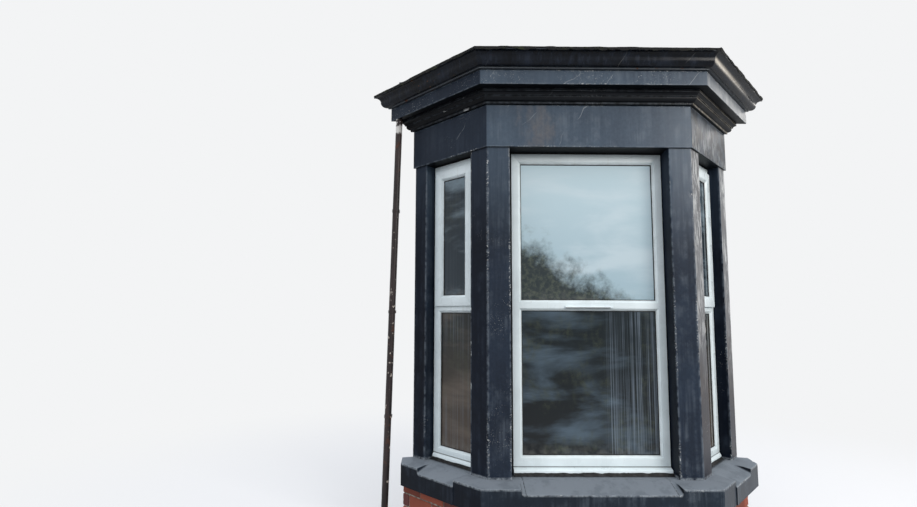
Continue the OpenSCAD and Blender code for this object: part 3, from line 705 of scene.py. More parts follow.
def keep(mesh, values):
    for key, value in values.items():
        layer = mesh.attributes.new(key, "FLOAT", "POINT")
        layer.data.foreach_set("value", np.full(len(mesh.vertices), value, dtype=np.float32))


def addObject(name, data, turn=None, place=(0, 0, 0)):
    item = bpy.data.objects.new(name, data)
    bpy.context.collection.objects.link(item)
    if turn:
        item.matrix_world = Matrix.Translation(place) @ turn.to_4x4()
    return item


# Puts a shape, its points and faces, into a mesh that rides on the bay. Faces are turned outwards,
# values are kept as attributes of the points, and edges sharper than the angle stay crisp
def makePiece(name, shape, finish, replaced=(), values=None, crisp=40):
    points, faces = together([shape])
    faces = [tuple(int(i) for i in face) for face in faces]
    mesh = bpy.data.meshes.new(name)
    mesh.from_pydata(points, [], faces)
    keep(mesh, values or {})
    mesh.polygons.foreach_set("use_smooth", np.ones(len(faces), dtype=bool))
    mesh.set_sharp_from_angle(angle=math.radians(crisp))
    mesh.materials.append(materials[finish])
    piece = addObject(name, mesh)
    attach(piece, "root")
    if replaced:
        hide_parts(*replaced)
    return piece


# How far points stand outwards from the frieze's face: the most of their distances from the front
# and from the two canted sides
def outOf(points):
    front = plan["faceY"] - points[:, 1]
    beside = np.abs(points[:, 0]) - plan["halfFront"]
    return np.maximum(front, beside * math.sin(plan["cant"]) + front * math.cos(plan["cant"]))


def readPoints(mesh, name):
    values = np.empty(len(mesh.vertices) * 3)
    mesh.vertices.foreach_get(name, values)
    return values.reshape(-1, 3)


# Moves a mesh's points inwards along their normals by a wave, by pits, and by chips whose depth
# falls with the square of the distance to the nearest arris: chip * exp(-(arris / reach)^2). The cut
# back of the bay stays flat. Attributes keep what the finish needs: how deep pits and chips go, how
# far a face looks up and turns right, how near an arris is, which points are on the hidden inner side
# or on the cut, and where the painted shadow in front of the windows' cills runs
def weather(piece, wear, arris):
    mesh = piece.data
    points, normals = readPoints(mesh, "co"), readPoints(mesh, "normal")
    seed = wear["seed"]
    wave = wear["wave"] * lattice(points, wear["waveSize"], seed)
    poor = smoothStep(lattice(points, 0.22, seed + 1), 0.5, 0.75)
    pits = poor * smoothStep(lattice(points, wear["pitSize"], seed + 2), 0.62, 0.8)
    broken = smoothStep(lattice(points, wear["chipSize"], seed + 3), 0.6, 0.85)
    broken = broken * smoothStep(lattice(points, 0.3, seed + 4), 0.4, 0.7)
    chips = np.exp(-(arris / wear["chipReach"]) ** 2) * broken
    away = smoothStep(plan["backY"] - points[:, 1], 0.004, 0.03)
    line = np.where(np.abs(points[:, 0]) < plan["halfFront"] - 0.1, *plan["shadowByCillLines"])
    depth = (wave + wear["pit"] * pits + wear["chip"] * chips) * away
    mesh.vertices.foreach_set("co", (points - normals * depth[:, None]).ravel())
    keep(mesh, {
        "wear": np.maximum(pits * 0.7, chips) * away,
        "up": normals[:, 2],
        "turned": normals[:, 0],
        "edge": np.exp(-(arris / 0.0025) ** 2),
        "inside": outOf(points) < plan["inner"] + 0.002,
        "cut": plan["backY"] - points[:, 1] < 0.0005,
        "shadowByCill": smoothStep(outOf(points) - line, 0.032, 0.018),
    })
    mesh.update()


stoneWear = {
    "wave": 0.0007,
    "waveSize": 0.12,
    "pit": 0.0004,
    "pitSize": 0.016,
    "chip": 0.004,
    "chipSize": 0.028,
    "chipReach": 0.010,
    "seed": 11,
}


def makeStone(node, shape, arris):
    piece = makePiece(node + "_stone", shape, "painted_stone", (node,))
    weather(piece, stoneWear, arris)


# Rounds the corners of a closed outline and spaces points along it. A corner becomes a curve over
# three chords that leaves each side at the radius; a corner flatter than 25 degrees is kept as it
# is. Gives the points and the distance of each from the nearest arris, or "far" where there is none
def softened(outline, radius, spacings, far=0.05):
    corner = np.array(outline, dtype=float)
    count = len(corner)
    spacings = [spacings] * count if isinstance(spacings, float) else spacings
    points, arris = [], []
    starts, ends, bends = [], [], []
    for i in range(count):
        back, ahead = corner[i - 1] - corner[i], corner[(i + 1) % count] - corner[i]
        backLength, aheadLength = np.linalg.norm(back), np.linalg.norm(ahead)
        turn = math.degrees(math.acos(np.clip(-(back @ ahead) / (backLength * aheadLength), -1, 1)))
        cut = 0.0 if turn < 25 else min(radius, 0.4 * backLength, 0.4 * aheadLength)
        starts.append(corner[i] + back / backLength * cut)
        ends.append(corner[i] + ahead / aheadLength * cut)
        bends.append(cut > 0)
    for i in range(count):
        after = (i + 1) % count
        t = np.linspace(0, 1, 4 if bends[i] else 1)[:, None]
        points.append((1 - t) ** 2 * starts[i] + 2 * t * (1 - t) * corner[i] + t ** 2 * ends[i])
        arris.append(np.full(len(t), 0.0 if bends[i] else far))
        length = np.linalg.norm(starts[after] - ends[i])
        steps = max(1, int(math.ceil(length / spacings[i])))
        t = np.arange(1, steps) / steps
        points.append(ends[i] + (starts[after] - ends[i]) * t[:, None])
        arris.append(np.minimum(t * length if bends[i] else far, (1 - t) * length if bends[after] else far)
                     + np.zeros(len(t)))
    return np.concatenate(points), np.concatenate(arris)


# A closed outline of [out, z] points carried along one leg of the plan. A station is one t, or a
# row of one t for each point of the outline
def carry(leg, outline, stations):
    t = stations[:, None] if stations.ndim == 1 else stations
    return capped(gridPoints(*planPoint(leg, t, outline[:, 0]), outline[:, 1]))


# A closed outline of [x, y] points carried straight up
def raisedUp(outline, heights):
    return capped(gridPoints(outline[:, 0], outline[:, 1], heights[:, None]))


# Even stations from 0 to 1, with closer ones by both ends for the softened joint
def evenStations(length, spacing, ends=0.003):
    inside = np.linspace(2 * ends / length, 1 - 2 * ends / length, max(2, int(round(length / spacing))))
    return np.concatenate([[0, ends / length], inside, [1 - ends / length, 1]])


sides = ("left", "front", "right")
mirrored = (("left", -1), ("right", 1))

# Frieze, bed mould and corona. The bed mould is a fillet, a round, a fillet and a hollow
cornice = {
    "bed": -0.090,
    "corona": 0.125,
    "fillet": 0.018,
    "filletHeight": 0.014,
    "round": 0.024,
    "step": 0.008,
    "hollow": 0.020,
    "arris": 0.003,
    "spacing": 0.010,
}


# Points of a quarter circle, from angle a to angle b in degrees
def quarter(centreOut, centreZ, width, height, a, b, steps):
    angle = np.radians(np.linspace(a, b, steps + 1))
    return np.stack([centreOut + width * np.cos(angle), centreZ + height * np.sin(angle)], axis=1)


def rectangle(near, far, low, high):
    return [[near, low], [far, low], [far, high], [near, high]]


def bedOutline():
    c = cornice
    low, top = level["friezeTop"], level["bedTop"]
    roundOut = c["fillet"] + c["round"]
    roundZ = low + c["filletHeight"] + c["round"]
    hollowOut = roundOut + c["step"] + c["hollow"]
    hollowZ = roundZ + c["step"]
    return np.concatenate([
        [[c["bed"], low], [c["fillet"], low]],
        quarter(c["fillet"], roundZ, c["round"], c["round"], -90, 0, 8),
        [[roundOut, hollowZ], [roundOut + c["step"], hollowZ]],
        quarter(hollowOut, hollowZ, c["hollow"], c["hollow"], 180, 90, 8)[1:],
        [[hollowOut, top], [c["bed"], top]]])


def makeCornice():
    c, fine = cornice, cornice["spacing"]
    frieze = rectangle(plan["inner"], 0, level["mullionTop"], level["friezeTop"])
    corona = rectangle(c["bed"], c["corona"], level["bedTop"], level["coronaTop"])
    for part, outline, spacings in (("frieze", frieze, [0.02, fine, 0.08, 0.03]),
                                    ("bed_mould", bedOutline(), fine),
                                    ("corona", corona, [fine, fine, 0.03, 0.08])):
        soft, arris = softened(outline, c["arris"], spacings)
        for leg, side in enumerate(sides):
            stations = evenStations(legLength(leg), fine)
            makeStone(part + "_" + side, carry(leg, soft, stations), np.tile(arris, len(stations)))


# Mullions stand on the corners, and half posts at the cut back
posts = {
    "back": 0.012,
    "face": 0.156,
    "respond": 0.135,
    "height": 2.15,
    "arris": 0.0035,
    "spacing": 0.010,
}


def makePosts():
    p, fine = posts, posts["spacing"]
    half, face, length = plan["halfFront"], plan["faceY"], plan["sideLength"]
    outer, inner, end = -p["back"], plan["inner"], length - p["respond"]
    mullion = [[half - p["face"], face - outer], [half + outer * plan["mitre"], face - outer],
               sidePoint(p["face"], outer), sidePoint(p["face"], inner),
               [half + inner * plan["mitre"], face - inner], [half - p["face"], face - inner]]
    respond = [sidePoint(end, outer), sidePoint(length + outer, outer), sidePoint(end, -p["respond"])]
    rise = level["mullionTop"] - level["sillTop"]
    heights = level["sillTop"] + rise * evenStations(p["height"], fine)
    for side, sign in mirrored:
        for part, outline, spacings in (("mullion", mullion, [fine, fine, 0.012, 0.03, 0.03, 0.012]),
                                        ("respond", respond, [fine, 0.03, 0.012])):
            soft, arris = softened([[sign * x, y] for x, y in outline], p["arris"], spacings)
            makeStone(part + "_" + side, raisedUp(soft, heights), np.tile(arris, len(heights)))


makeCornice()
makePosts()
print("Cornice and posts made")


# Joins a grid of front points to a second grid behind it by a skirt in even steps, and closes the
# back by its own grid, or by one flat face where it has none of its own
def block(front, back, steps=1, flatBack=False):
    rows, columns = front.shape[:2]
    index = np.arange(rows * columns).reshape(rows, columns)
    ring = np.concatenate([index[:, 0], index[-1, 1:], index[-2::-1, -1], index[0, -2:0:-1]])
    fore, aft = front.reshape(-1, 3), back.reshape(-1, 3)
    points, faces, above = [fore], [gridFaces(rows, columns)], ring
    for k in range(1, steps + 1):
        last = k == steps and not flatBack
        below = len(fore) + (k - 1) * len(ring) + (ring if last else np.arange(len(ring)))
        points.append(aft if last else fore[ring] * (1 - k / steps) + aft[ring] * (k / steps))
        faces.append(np.stack([np.roll(above, -1), above, below, np.roll(below, -1)], axis=1))
        above = below
    if flatBack:
        return np.concatenate(points), list(np.concatenate(faces)) + [tuple(above[::-1])]
    faces.append(gridFaces(rows, columns, start=len(fore) + (steps - 1) * len(ring))[:, ::-1])
    return np.concatenate(points), list(np.concatenate(faces))


# Sill of five stones. The weathering falls to the front from just outside the windows and dies into
# the higher stoolings with an ogee stop; the stoolings fall a little too
sill = {
    "out": 0.118,
    "sideOut": 0.124,
    "frontJoint": 0.4635,
    "sideJoint": 0.188,
    "frontFlat": 0.4715,
    "sideFlat": 0.5064,
    "stop": 0.038,
    "from": -0.016,
    "fall": 0.046,
    "stoolFrom": -0.012,
    "stoolFall": 0.012,
    "return": 0.060,
    "dripOut": 0.092,
    "dripRadius": 0.007,
    "arris": 0.005,
    "spacing": 0.009,
    "skirt": 14,
    "height": 0.130,
}


# Height of a circle over its middle line
def arc(radius, squares):
    return np.sqrt(np.maximum(0, radius ** 2 - squares))


# Height of the stooling, and of the weathering with its stop: a quarter circle up from the flat and
# a second one over into the level, each half the stop's width
def sillHeight(past, out):
    s = sill
    outwards = np.maximum(0, out - s["stoolFrom"]) / (s["out"] - s["stoolFrom"])
    stooling = level["sillTop"] - s["stoolFall"] * outwards
    if past is None:
        return stooling
    half = s["stop"] / 2
    lower = half - arc(half, np.clip(past, 0, half) ** 2)
    upper = half + arc(half, (s["stop"] - np.clip(past, half, s["stop"])) ** 2)
    lift = np.where(past < half, lower, upper) * s["fall"] / s["stop"]
    lift = np.where(past > s["stop"], 1.0, lift)
    slope = level["sillTop"] - s["fall"] * (out - s["from"]) / (s["out"] - s["from"])
    return np.minimum(stooling, slope + lift)


# Stations through the ogee stop, even in angle, so that its steep middle has enough of them
def stopStations(start):
    half = sill["stop"] / 2
    angle = np.radians(np.linspace(0, 90, 8))
    return start + np.concatenate([half * np.sin(angle), sill["stop"] - half * np.cos(angle)[1:]])


edgeSteps = np.array([0, 0.0015, 0.004, 0.008])


def inOrder(values):
    return np.unique(np.round(np.concatenate(values), 5))


# Distances across the sill from its inner to its outer edge, closer at the edges and at the drip
def acrossSill(outer):
    s, inner = sill, plan["inner"]
    drip = s["dripOut"] + s["dripRadius"] * np.array([-1.05, -1, -0.5, 0, 0.5, 1, 1.05])
    middle = np.arange(-0.045, outer - 0.012, s["spacing"])
    behind = [np.arange(inner + 0.02, -0.11, 0.03), np.arange(-0.106, -0.047, 0.004)]
    return inOrder([inner + edgeSteps, *behind, [s["from"]], middle, drip, [s["return"] / math.sqrt(2)],
                    outer - edgeSteps])


# One stone from its upper face: x, y and height over rows along it and columns across it. Its arrises
# are rounded, a drip is cut below, and a skirt in even steps joins its top to its bed
def makeSillStone(node, sign, top, across):
    s, steps = sill, sill["skirt"]
    x, y, z = sign * top[..., 0], top[..., 1], top[..., 2]
    strides = np.hypot(np.diff(x, axis=0), np.diff(y, axis=0))
    along = np.concatenate([np.zeros((1, len(across))), np.cumsum(strides, axis=0)])
    fromEnd = np.minimum(along, along[-1:] - along)
    fromEdge = np.minimum(across - across[0], across[-1] - across)
    overEnd, overEdge = np.maximum(0, s["arris"] - fromEnd), np.maximum(0, s["arris"] - fromEdge)
    drop = s["arris"] - arc(s["arris"], overEnd ** 2 + overEdge ** 2)
    groove = arc(s["dripRadius"], (across - s["dripOut"]) ** 2)
    points, faces = block(gridPoints(x, y, z - drop), gridPoints(x, y, level["baseTop"] + groove), steps)
    ringSize = 2 * (x.shape[0] + x.shape[1]) - 4
    share = np.repeat(np.arange(1, steps) / steps, ringSize)
    arris = np.full(len(points), 0.05)
    arris[:x.size] = np.minimum(fromEnd, fromEdge).ravel()
    arris[x.size:x.size + len(share)] = s["height"] * np.minimum(share, 1 - share)
    makeStone(node, (points, faces), arris)


def makeSill():
    s, fine, mitre = sill, sill["spacing"], plan["mitre"]
    half, face, joint = plan["halfFront"], plan["faceY"], sill["frontJoint"]
    across = acrossSill(s["out"])
    spread = np.concatenate([edgeSteps, np.arange(0.016, 0.2, fine)])
    x = inOrder([spread, 2 * joint - spread, np.arange(0.2, 2 * joint - 0.2, fine)])[:, None] - joint
    front = gridPoints(x, face - across, sillHeight(np.abs(x) - s["frontFlat"], across))
    makeSillStone("sill_front", 1, front, across)

    # A corner stone: its joint and stop on the front, then the way to the mitre, then the side
    x = inOrder([joint + edgeSteps, stopStations(s["frontFlat"]), [0.52, 0.528]])[:, None]
    frontPart = gridPoints(x, face - across, sillHeight(x - s["frontFlat"], across))
    turnX = x[-1] + (half + across * mitre - x[-1]) * np.linspace(0, 1, 12)[1:, None]
    turnPart = gridPoints(turnX, face - across, sillHeight(None, across))
    start, end = -across * mitre, s["sideJoint"] - edgeSteps[::-1, None] + 0 * across
    along = np.concatenate([start + (end[0] - start) * np.linspace(0, 1, 18)[1:, None], end[1:]])
    sidePart = gridPoints(*sidePoint(along, across), sillHeight(None, across))
    corner = np.concatenate([frontPart, turnPart, sidePart])

    # A side stone runs from its joint to the cut back of the bay, or to the return of its outer edge
    wide = acrossSill(s["sideOut"])
    fixed = np.concatenate([s["sideJoint"] + edgeSteps, np.arange(0.205, s["sideFlat"], fine),
                            stopStations(s["sideFlat"])])[:, None]
    run = (plan["backY"] - face) / math.tan(plan["cant"]) + s["return"]
    end = np.minimum(plan["sideLength"] + wide, run / math.cos(plan["cant"]) - wide)
    start = fixed[-1] + 0.0005
    rest = start + (end - start) * np.concatenate([np.linspace(0, 0.94, 16), [0.965, 0.985, 1.0]])[:, None]
    along = np.concatenate([fixed + 0 * wide, rest])
    flank = gridPoints(*sidePoint(along, wide), sillHeight(along - s["sideFlat"], wide))
    for side, sign in mirrored:
        makeSillStone("sill_corner_" + side, sign, corner, across)
    for side, sign in mirrored:
        makeSillStone("sill_" + side, sign, flank, wide)


# Courses of worn stretchers with a recessed joint. u is the distance along the three outer faces
# from the left-hand end, so a brick runs on round a corner
brick = {
    "length": 0.235,
    "course": 0.088,
    "courses": 4,
    "joint": 0.009,
    "recess": 0.005,
    "arris": 0.0035,
    "offset": 0.0012,
    "skin": 0.030,
    "start": 0.060,
    "seed": 5,
}


# Depth of the face at a distance from the middle of the nearest joint: the recess inside the joint,
# and a quarter circle over the arris
def jointDepth(distance):
    b = brick
    past = distance - b["joint"] / 2
    curve = b["arris"] - arc(b["arris"], np.clip(b["arris"] - past, 0, b["arris"]) ** 2)
    return np.where(past < 0, b["recess"], np.minimum(curve, b["recess"]))


def jointStations(joints, start, end, spacing):
    near = brick["joint"] / 2 + np.array([-0.0002, 0.0, 0.0008, 0.0018, 0.0035, 0.007])
    values = [np.linspace(start, end, int((end - start) / spacing))]
    values += [np.concatenate([joint - near, [joint], joint + near]) for joint in joints]
    values = np.concatenate(values)
    return np.concatenate([[start], inOrder([values[(values > start) & (values < end)]]), [end]])


# One course on one leg: its shell, with each point's tone and share of mortar
def brickCourse(leg, course, total, length):
    b, out, seed = brick, plan["baseOut"], brick["seed"]
    phase = b["start"] + (course % 2) * b["length"] / 2
    first = math.ceil((total - phase) / b["length"]) - 1
    joints = phase + b["length"] * np.arange(first, first + int(length / b["length"]) + 4)
    low, high = course * b["course"], (course + 1) * b["course"]
    u = jointStations(joints, total, total + length, 0.013)[:, None]
    z = jointStations([low, high], low, high, 0.011)
    fromJoint = np.min(np.abs(u - joints), axis=1)[:, None]
    fromBed = np.minimum(z - low, high - z)
    past = np.minimum(fromJoint, fromBed) - b["joint"] / 2
    place = gridPoints(u, z, 1.0).reshape(-1, 3)

    def noise(size, more):
        return lattice(place, size, seed + more).reshape(past.shape)

    def chance(more):
        key = (np.floor((u - phase) / b["length"]) + 100 * course).astype(np.int64)
        return scrambled(key * 73856093 + (seed + more) * 19349663)

    solid = (past > -0.0001).astype(float)
    rough = noise(0.03, 0) - 0.5
    pits = smoothStep(noise(0.012, 1), 0.72, 0.9)
    chips = np.exp(-(past / 0.008) ** 2) * smoothStep(noise(0.022, 2), 0.6, 0.85)
    tilt = (chance(3) - 0.5) * 2 * b["offset"]
    depth = np.maximum(jointDepth(fromJoint), jointDepth(fromBed))
    depth = depth + solid * (rough * 0.0014 + pits * 0.0018 + chips * 0.0035 + np.abs(tilt))
    depth = depth + (1 - solid) * np.abs(rough) * 0.0008
    t = (u - total) / length
    back = gridPoints(*planPoint(leg, t, out - b["skin"]), z)
    points, faces = block(gridPoints(*planPoint(leg, t, out - depth), z), back, flatBack=True)
    tones, mortar = np.full(len(points), 0.5), np.zeros(len(points))
    tones[:past.size] = (chance(0) + 0 * past).ravel()
    mortar[:past.size] = 1 - solid.ravel()
    return (points, faces), tones, mortar


def makeBricks():
    b, out, inner = brick, plan["baseOut"], plan["inner"]
    total = 0.0
    for leg, side in enumerate(sides):
        length = legLength(leg, out)
        courses = [brickCourse(leg, course, total, length) for course in range(b["courses"])]
        shells, tones, mortar = zip(*courses)
        outline = np.array(rectangle(inner, out - b["skin"], 0, b["courses"] * b["course"]))
        core = carry(leg, outline, np.linspace(0, 1, 2))
        points, faces = together([*shells, core])
        node, coreSize = "brick_base_" + side, len(core[0])
        makePiece(node + "_wall", (points, faces), "brick", (node,), {
            "brickTone": np.concatenate([*tones, np.full(coreSize, 0.5)]),
            "mortar": np.concatenate([*mortar, np.zeros(coreSize)]),
            "core": np.arange(len(points)) >= len(points) - coreSize,
            "inside": outOf(points) < inner + 0.002,
        })
        total += length


makeSill()
makeBricks()
print("Sill and brick base made")


# Ogee gutter: a lip, a round belly under a hollow top, and an upright rim, one thickness throughout
gutter = {
    "back": 0.070,
    "backHeight": 0.090,
    "height": 0.098,
    "wall": 0.005,
    "lip": 0.142,
    "lipHeight": 0.008,
    "lipStep": 0.004,
    "belly": 0.038,
    "bellyShare": 0.54,
    "flare": 0.033,
    "rim": 0.012,
    "arris": 0.0016,
    "spacing": 0.012,
    "lining": 0.004,
    "lap": 0.019,
    "lumps": (0.004, 0.004, 0.013),
}
ironWear = {
    "wave": 0.0007,
    "waveSize": 0.11,
    "pit": 0.0005,
    "pitSize": 0.009,
    "chip": 0.0,
    "chipSize": 0.03,
    "chipReach": 0.004,
    "seed": 31,
}
liningWear = {**ironWear, "wave": 0.0016, "waveSize": 0.016, "pitSize": 0.008, "seed": 41}


# An open path moved sideways to its left: each point goes along the middle of its two sides' normals,
# by the distance over the cosine of the half turn
def movedPath(path, distance):
    along = np.diff(path, axis=0)
    along = along / np.linalg.norm(along, axis=1)[:, None]
    normal = np.stack([-along[:, 1], along[:, 0]], axis=1)
    before = np.concatenate([normal[:1], normal])
    middle = before + np.concatenate([normal, normal[-1:]])
    middle = middle / np.linalg.norm(middle, axis=1)[:, None]
    return path + middle * (distance / np.sum(middle * before, axis=1))[:, None]


def gutterPath():
    g, low = gutter, level["coronaTop"]
    ogeeHeight = g["height"] - g["lipHeight"] - g["rim"]
    bellyHeight = ogeeHeight * g["bellyShare"]
    bellyOut = g["lip"] + g["lipStep"]
    flareOut = bellyOut + g["belly"] + g["flare"]
    front = flareOut + g["wall"]
    lipZ = low + g["lipHeight"]
    waistZ = lipZ + bellyHeight
    return np.concatenate([
        [[g["back"], low + g["backHeight"]], [g["back"], low], [g["lip"], low], [g["lip"], lipZ]],
        quarter(bellyOut, waistZ, g["belly"], bellyHeight, -90, 0, 16),
        quarter(flareOut, waistZ, g["flare"], ogeeHeight - bellyHeight, 180, 90, 16)[1:],
        [[front, lipZ + ogeeHeight], [front, low + g["height"]]]])


# Stations of a side run from its stop end to the mitre, where a station is a row of one t for each
# point of the outline. Each t takes the outer end back by the stop end's thickness
def behindStop(leg, outline, rows):
    short = gutter["wall"] / (plan["backY"] - plan["faceY"] + outline[:, 0])
    start = short if leg == 0 else 0 * short
    end = 1 - short if leg == 2 else 1 + 0 * short
    return start + (end - start) * rows[:, None]


def makeGutter():
    g = gutter
    path = gutterPath()
    channel = movedPath(path, g["wall"])
    soft, arris = softened(np.concatenate([path, channel[::-1]]), g["arris"], g["spacing"])
    stop, stopArris = softened(path, g["arris"], g["spacing"])
    for leg, side in enumerate(sides):
        rows = evenStations(legLength(leg), 0.022)
        shells, distance = [carry(leg, soft, behindStop(leg, soft, rows))], np.tile(arris, len(rows))
        if leg != 1:
            first, last = behindStop(leg, stop, np.array([0.0, 1.0]))
            ends = np.stack([0 * first, first] if leg == 0 else [last, 0 * last + 1])
            shells.append(carry(leg, stop, ends))
            distance = np.concatenate([distance, np.tile(stopArris, 2)])
        node = "gutter_" + side
        piece = makePiece(node + "_iron", together(shells), "gutter_iron", (node,))
        weather(piece, ironWear, distance)


# The felt lies in the gutter and hangs down over the rim, to a torn edge: its lap is the whole lap
# times a share that wanders along the gutter in two sizes of wave
def makeLining():
    g = gutter
    path = gutterPath()
    front, rimZ = path[-1]
    over = [[front, rimZ - g["lap"] * share] for share in np.linspace(0, 1, 6)]
    line = np.concatenate([movedPath(path, g["wall"]), over])
    outline = np.concatenate([line, movedPath(line, g["lining"])[::-1]])
    soft, arris = softened(outline, 0.001, g["spacing"])
    lap = (soft[:, 0] > front - 0.0005) & (soft[:, 1] < rimZ - 0.001)
    shells, distance = [], []
    for leg in range(3):
        rows = evenStations(legLength(leg), 0.011)
        points, faces = carry(leg, soft, behindStop(leg, soft, rows))
        edge = points * [1, 1, 0]
        torn = 0.62 * lattice(edge, 0.09, 43) + 0.38 * lattice(edge, 0.022, 44)
        torn = smoothStep(torn, 0.15, 0.8) * smoothStep(plan["backY"] - points[:, 1], 0.0, 0.05)
        share = np.where(np.tile(lap, len(rows)), 0.25 + 0.75 * torn, 1.0)
        points[:, 2] = np.where(share < 1, rimZ - (rimZ - points[:, 2]) * share, points[:, 2])
        lumps = 0.7 * smoothStep(lattice(edge, 0.075, 45), 0.35, 0.8) + 0.3 * lattice(edge, 0.024, 46)
        points[:, 2] += smoothStep(points[:, 2], rimZ - 0.004, rimZ + 0.002) * lumps * g["lumps"][leg]
        shells.append((points, faces))
        distance.append(np.tile(arris, len(rows)))
    shape = together(shells)
    piece = makePiece("gutter_lining_felt", shape, "lining_felt", ("gutter_lining",))
    weather(piece, liningWear, np.concatenate(distance))


# Rainwater pipe, a thin tube with a slight lean, and three clips round it
pipe = {
    "radius": 0.025,
    "bore": 0.022,
    "gap": 0.003,
    "outlet": 0.097,
    "lean": 0.075,
    "headGap": 0.002,
    "clipLow": 0.810,
    "clipGap": 0.760,
    "clips": 3,
    "clipHeight": 0.022,
    "clipWall": 0.003,
    "clipPlay": 0.0006,
    "sides": 64,
}


# A tube round the leaning middle line: a ring of [radius, z] points, one radius for each angle, is
# carried round the middle, and the first and last ring meet
def tube(radii, heights, angle):
    p, top = pipe, level["coronaTop"]
    depth = p["radius"] + p["gap"]
    run = (plan["backY"] - plan["faceY"] - depth) / math.tan(plan["cant"])
    head = plan["halfFront"] + run + p["outlet"] / math.sin(plan["cant"])
    x, y = -head - p["lean"] * (top - heights) / top, plan["backY"] - depth
    return wrapped(gridPoints(x + radii * np.cos(angle), y + radii * np.sin(angle), heights))


def makePipe():
    p, radius = pipe, pipe["radius"]
    angle = np.linspace(0, 2 * math.pi, p["sides"], endpoint=False)[None, :]
    top = level["coronaTop"] - p["headGap"]
    inside = np.linspace(0.002, top - 0.002, 260)
    heights = np.concatenate([[0.0], inside, [top], [top], inside[::-4], [0.0]])[:, None]
    radii = np.full(heights.shape, radius)
    radii[[0, len(inside) + 1]] -= 0.0006
    radii[len(inside) + 2:] = p["bore"]
    shape = tube(radii, heights, angle)
    piece = makePiece("downpipe_tube", shape, "pipe_iron", ("downpipe",))
    weather(piece, ironWear, np.full(len(shape[0]), 0.05))

    # A clip is round in front, and behind it two ears reach the plane that the pipe is fixed to
    outer, depth, soft = radius + p["clipWall"], radius + p["gap"], 0.0008
    beside, behind = np.maximum(np.abs(np.cos(angle)), 1e-6), np.maximum(np.sin(angle), 1e-6)
    reach = np.minimum(outer / beside, depth / behind)
    outer = np.where(np.sin(angle) > 0, reach, outer)
    bore = np.full(outer.shape, radius + p["clipPlay"])
    radii = np.concatenate([outer - soft, outer, outer, outer - soft, bore, bore])
    shells = []
    for middle in p["clipLow"] + p["clipGap"] * np.arange(p["clips"]):
        low, high = middle - p["clipHeight"] / 2, middle + p["clipHeight"] / 2
        heights = np.array([low, low + soft, high - soft, high, high, low])[:, None]
        shells.append(tube(radii, heights, angle))
    makePiece("pipe_clips_strap", together(shells), "pipe_iron", ("pipe_clips",))


makeGutter()
makeLining()
makePipe()
print("Gutter, lining and pipe made")


# Windows are worked out flat, as [across, depth, height] with depth going inwards from the frame's
# face, and then stood up in their openings
window = {
    "shift": 0.009,
    "frontReveal": 0.125,
    "sideReveal": 0.088,
    "depth": 0.060,
    "frontWidth": 1.033,
    "upright": 0.046,
    "bottom": 0.056,
    "top": 0.053,
    "sideWidth": 0.4144,
    "sideUpright": 0.044,
    "sideBottom": 0.037,
    "middle": 0.031,
    "cillHeight": 0.045,
    "headGap": 0.009,
    "transomLow": 1.080,
    "transomHigh": 1.118,
    "sashLow": 1.095,
    "sashTop": 0.045,
    "sashInset": 0.025,
    "sashFace": 0.060,
    "sashProud": 0.018,
    "sashLap": 0.014,
    "sashHole": 0.010,
    "glassIn": 0.018,
    "glassOut": 0.042,
    "bead": 0.020,
    "arris": 0.0025,
    "weld": 0.0007,
}


# Stands flat points up in the opening on the left, at the front or on the right: -1, 0 or 1
def stood(points, sign):
    x, depth, z = points.T
    if sign == 0:
        return gridPoints(x + window["shift"], plan["faceY"] + window["frontReveal"] + depth, z)
    middle = (posts["face"] + plan["sideLength"] - posts["respond"]) / 2
    return gridPoints(*sidePoint(middle + x, -window["sideReveal"] - depth, sign), z)


# A profile carried round a rectangle. A profile point is [0 or 1, inset, depth]: its own rectangle
# is the outer or the inner one, made smaller by the inset. Each corner has a shallow weld line
def ring(outer, inner, profile, weld=0.0, spacing=0.05):
    profile = np.array(profile)
    box = np.where(profile[:, :1] == 0, outer, inner) + profile[:, 1:2] * np.array([1, -1, 1, -1])
    left, right, low, high = box.T
    corners = [np.stack(corner, 1) for corner in ((left, low), (right, low), (right, high), (left, high))]
    place, sunk = [], []
    for start, end in zip(corners, corners[1:] + corners[:1]):
        length = np.linalg.norm(end[0] - start[0])
        inside = np.linspace(0.0016, length - 0.0016, max(2, int(length / spacing))) / length
        place.append(start[:, None] + (end - start)[:, None] * np.concatenate([[0.0], inside])[:, None])
        sunk += [weld] + [0.0] * len(inside)
    place = np.concatenate(place, axis=1)
    nearFace = profile[:, 2:] < profile[:, 2].min() + 0.012
    return wrapped(gridPoints(place[..., 0], profile[:, 2:] + np.array(sunk) * nearFace, place[..., 1]))


# A profile of [depth, height] points drawn out across the window
def drawnAcross(outline, width, middle=0.0, soft=0.0008):
    x = middle + np.array([-width / 2, -width / 2 + soft, width / 2 - soft, width / 2])[:, None]
    return capped(gridPoints(x, outline[:, 0], outline[:, 1]))


# A plain bar of the frame between its x and its heights
def bar(left, right, low, high):
    depth = window["depth"]
    outline = np.array([[0, low], [0, high], [depth, high], [depth, low]])
    return drawnAcross(outline, right - left, (left + right) / 2)


# The slope of the glazing bead starts in a fine groove and bellies out a little on its way to the
# glass. The black gasket closes it, and a plain bead holds the glass from behind
beadFront = [[0, 0.0011], [0.0009, 0.0008], [0.0045, 0.0030], [0.0090, 0.0062], [0.0130, 0.0094],
             [0.0158, 0.0120], [0.0168, 0.0132], [0.0168, window["glassIn"]], [0, window["glassIn"]]]
beadRear = [[0, window["glassOut"]], [window["bead"], window["glassOut"]],
            [window["bead"], window["glassOut"] + 0.001], [0.001, window["depth"]], [0, window["depth"]]]
gasket = [[0.0166, 0.0128], [0.0178, 0.0122], [0.0196, 0.0138], [0.0216, 0.0172],
          [0.0218, window["glassIn"]], [0.0166, window["glassIn"]]]


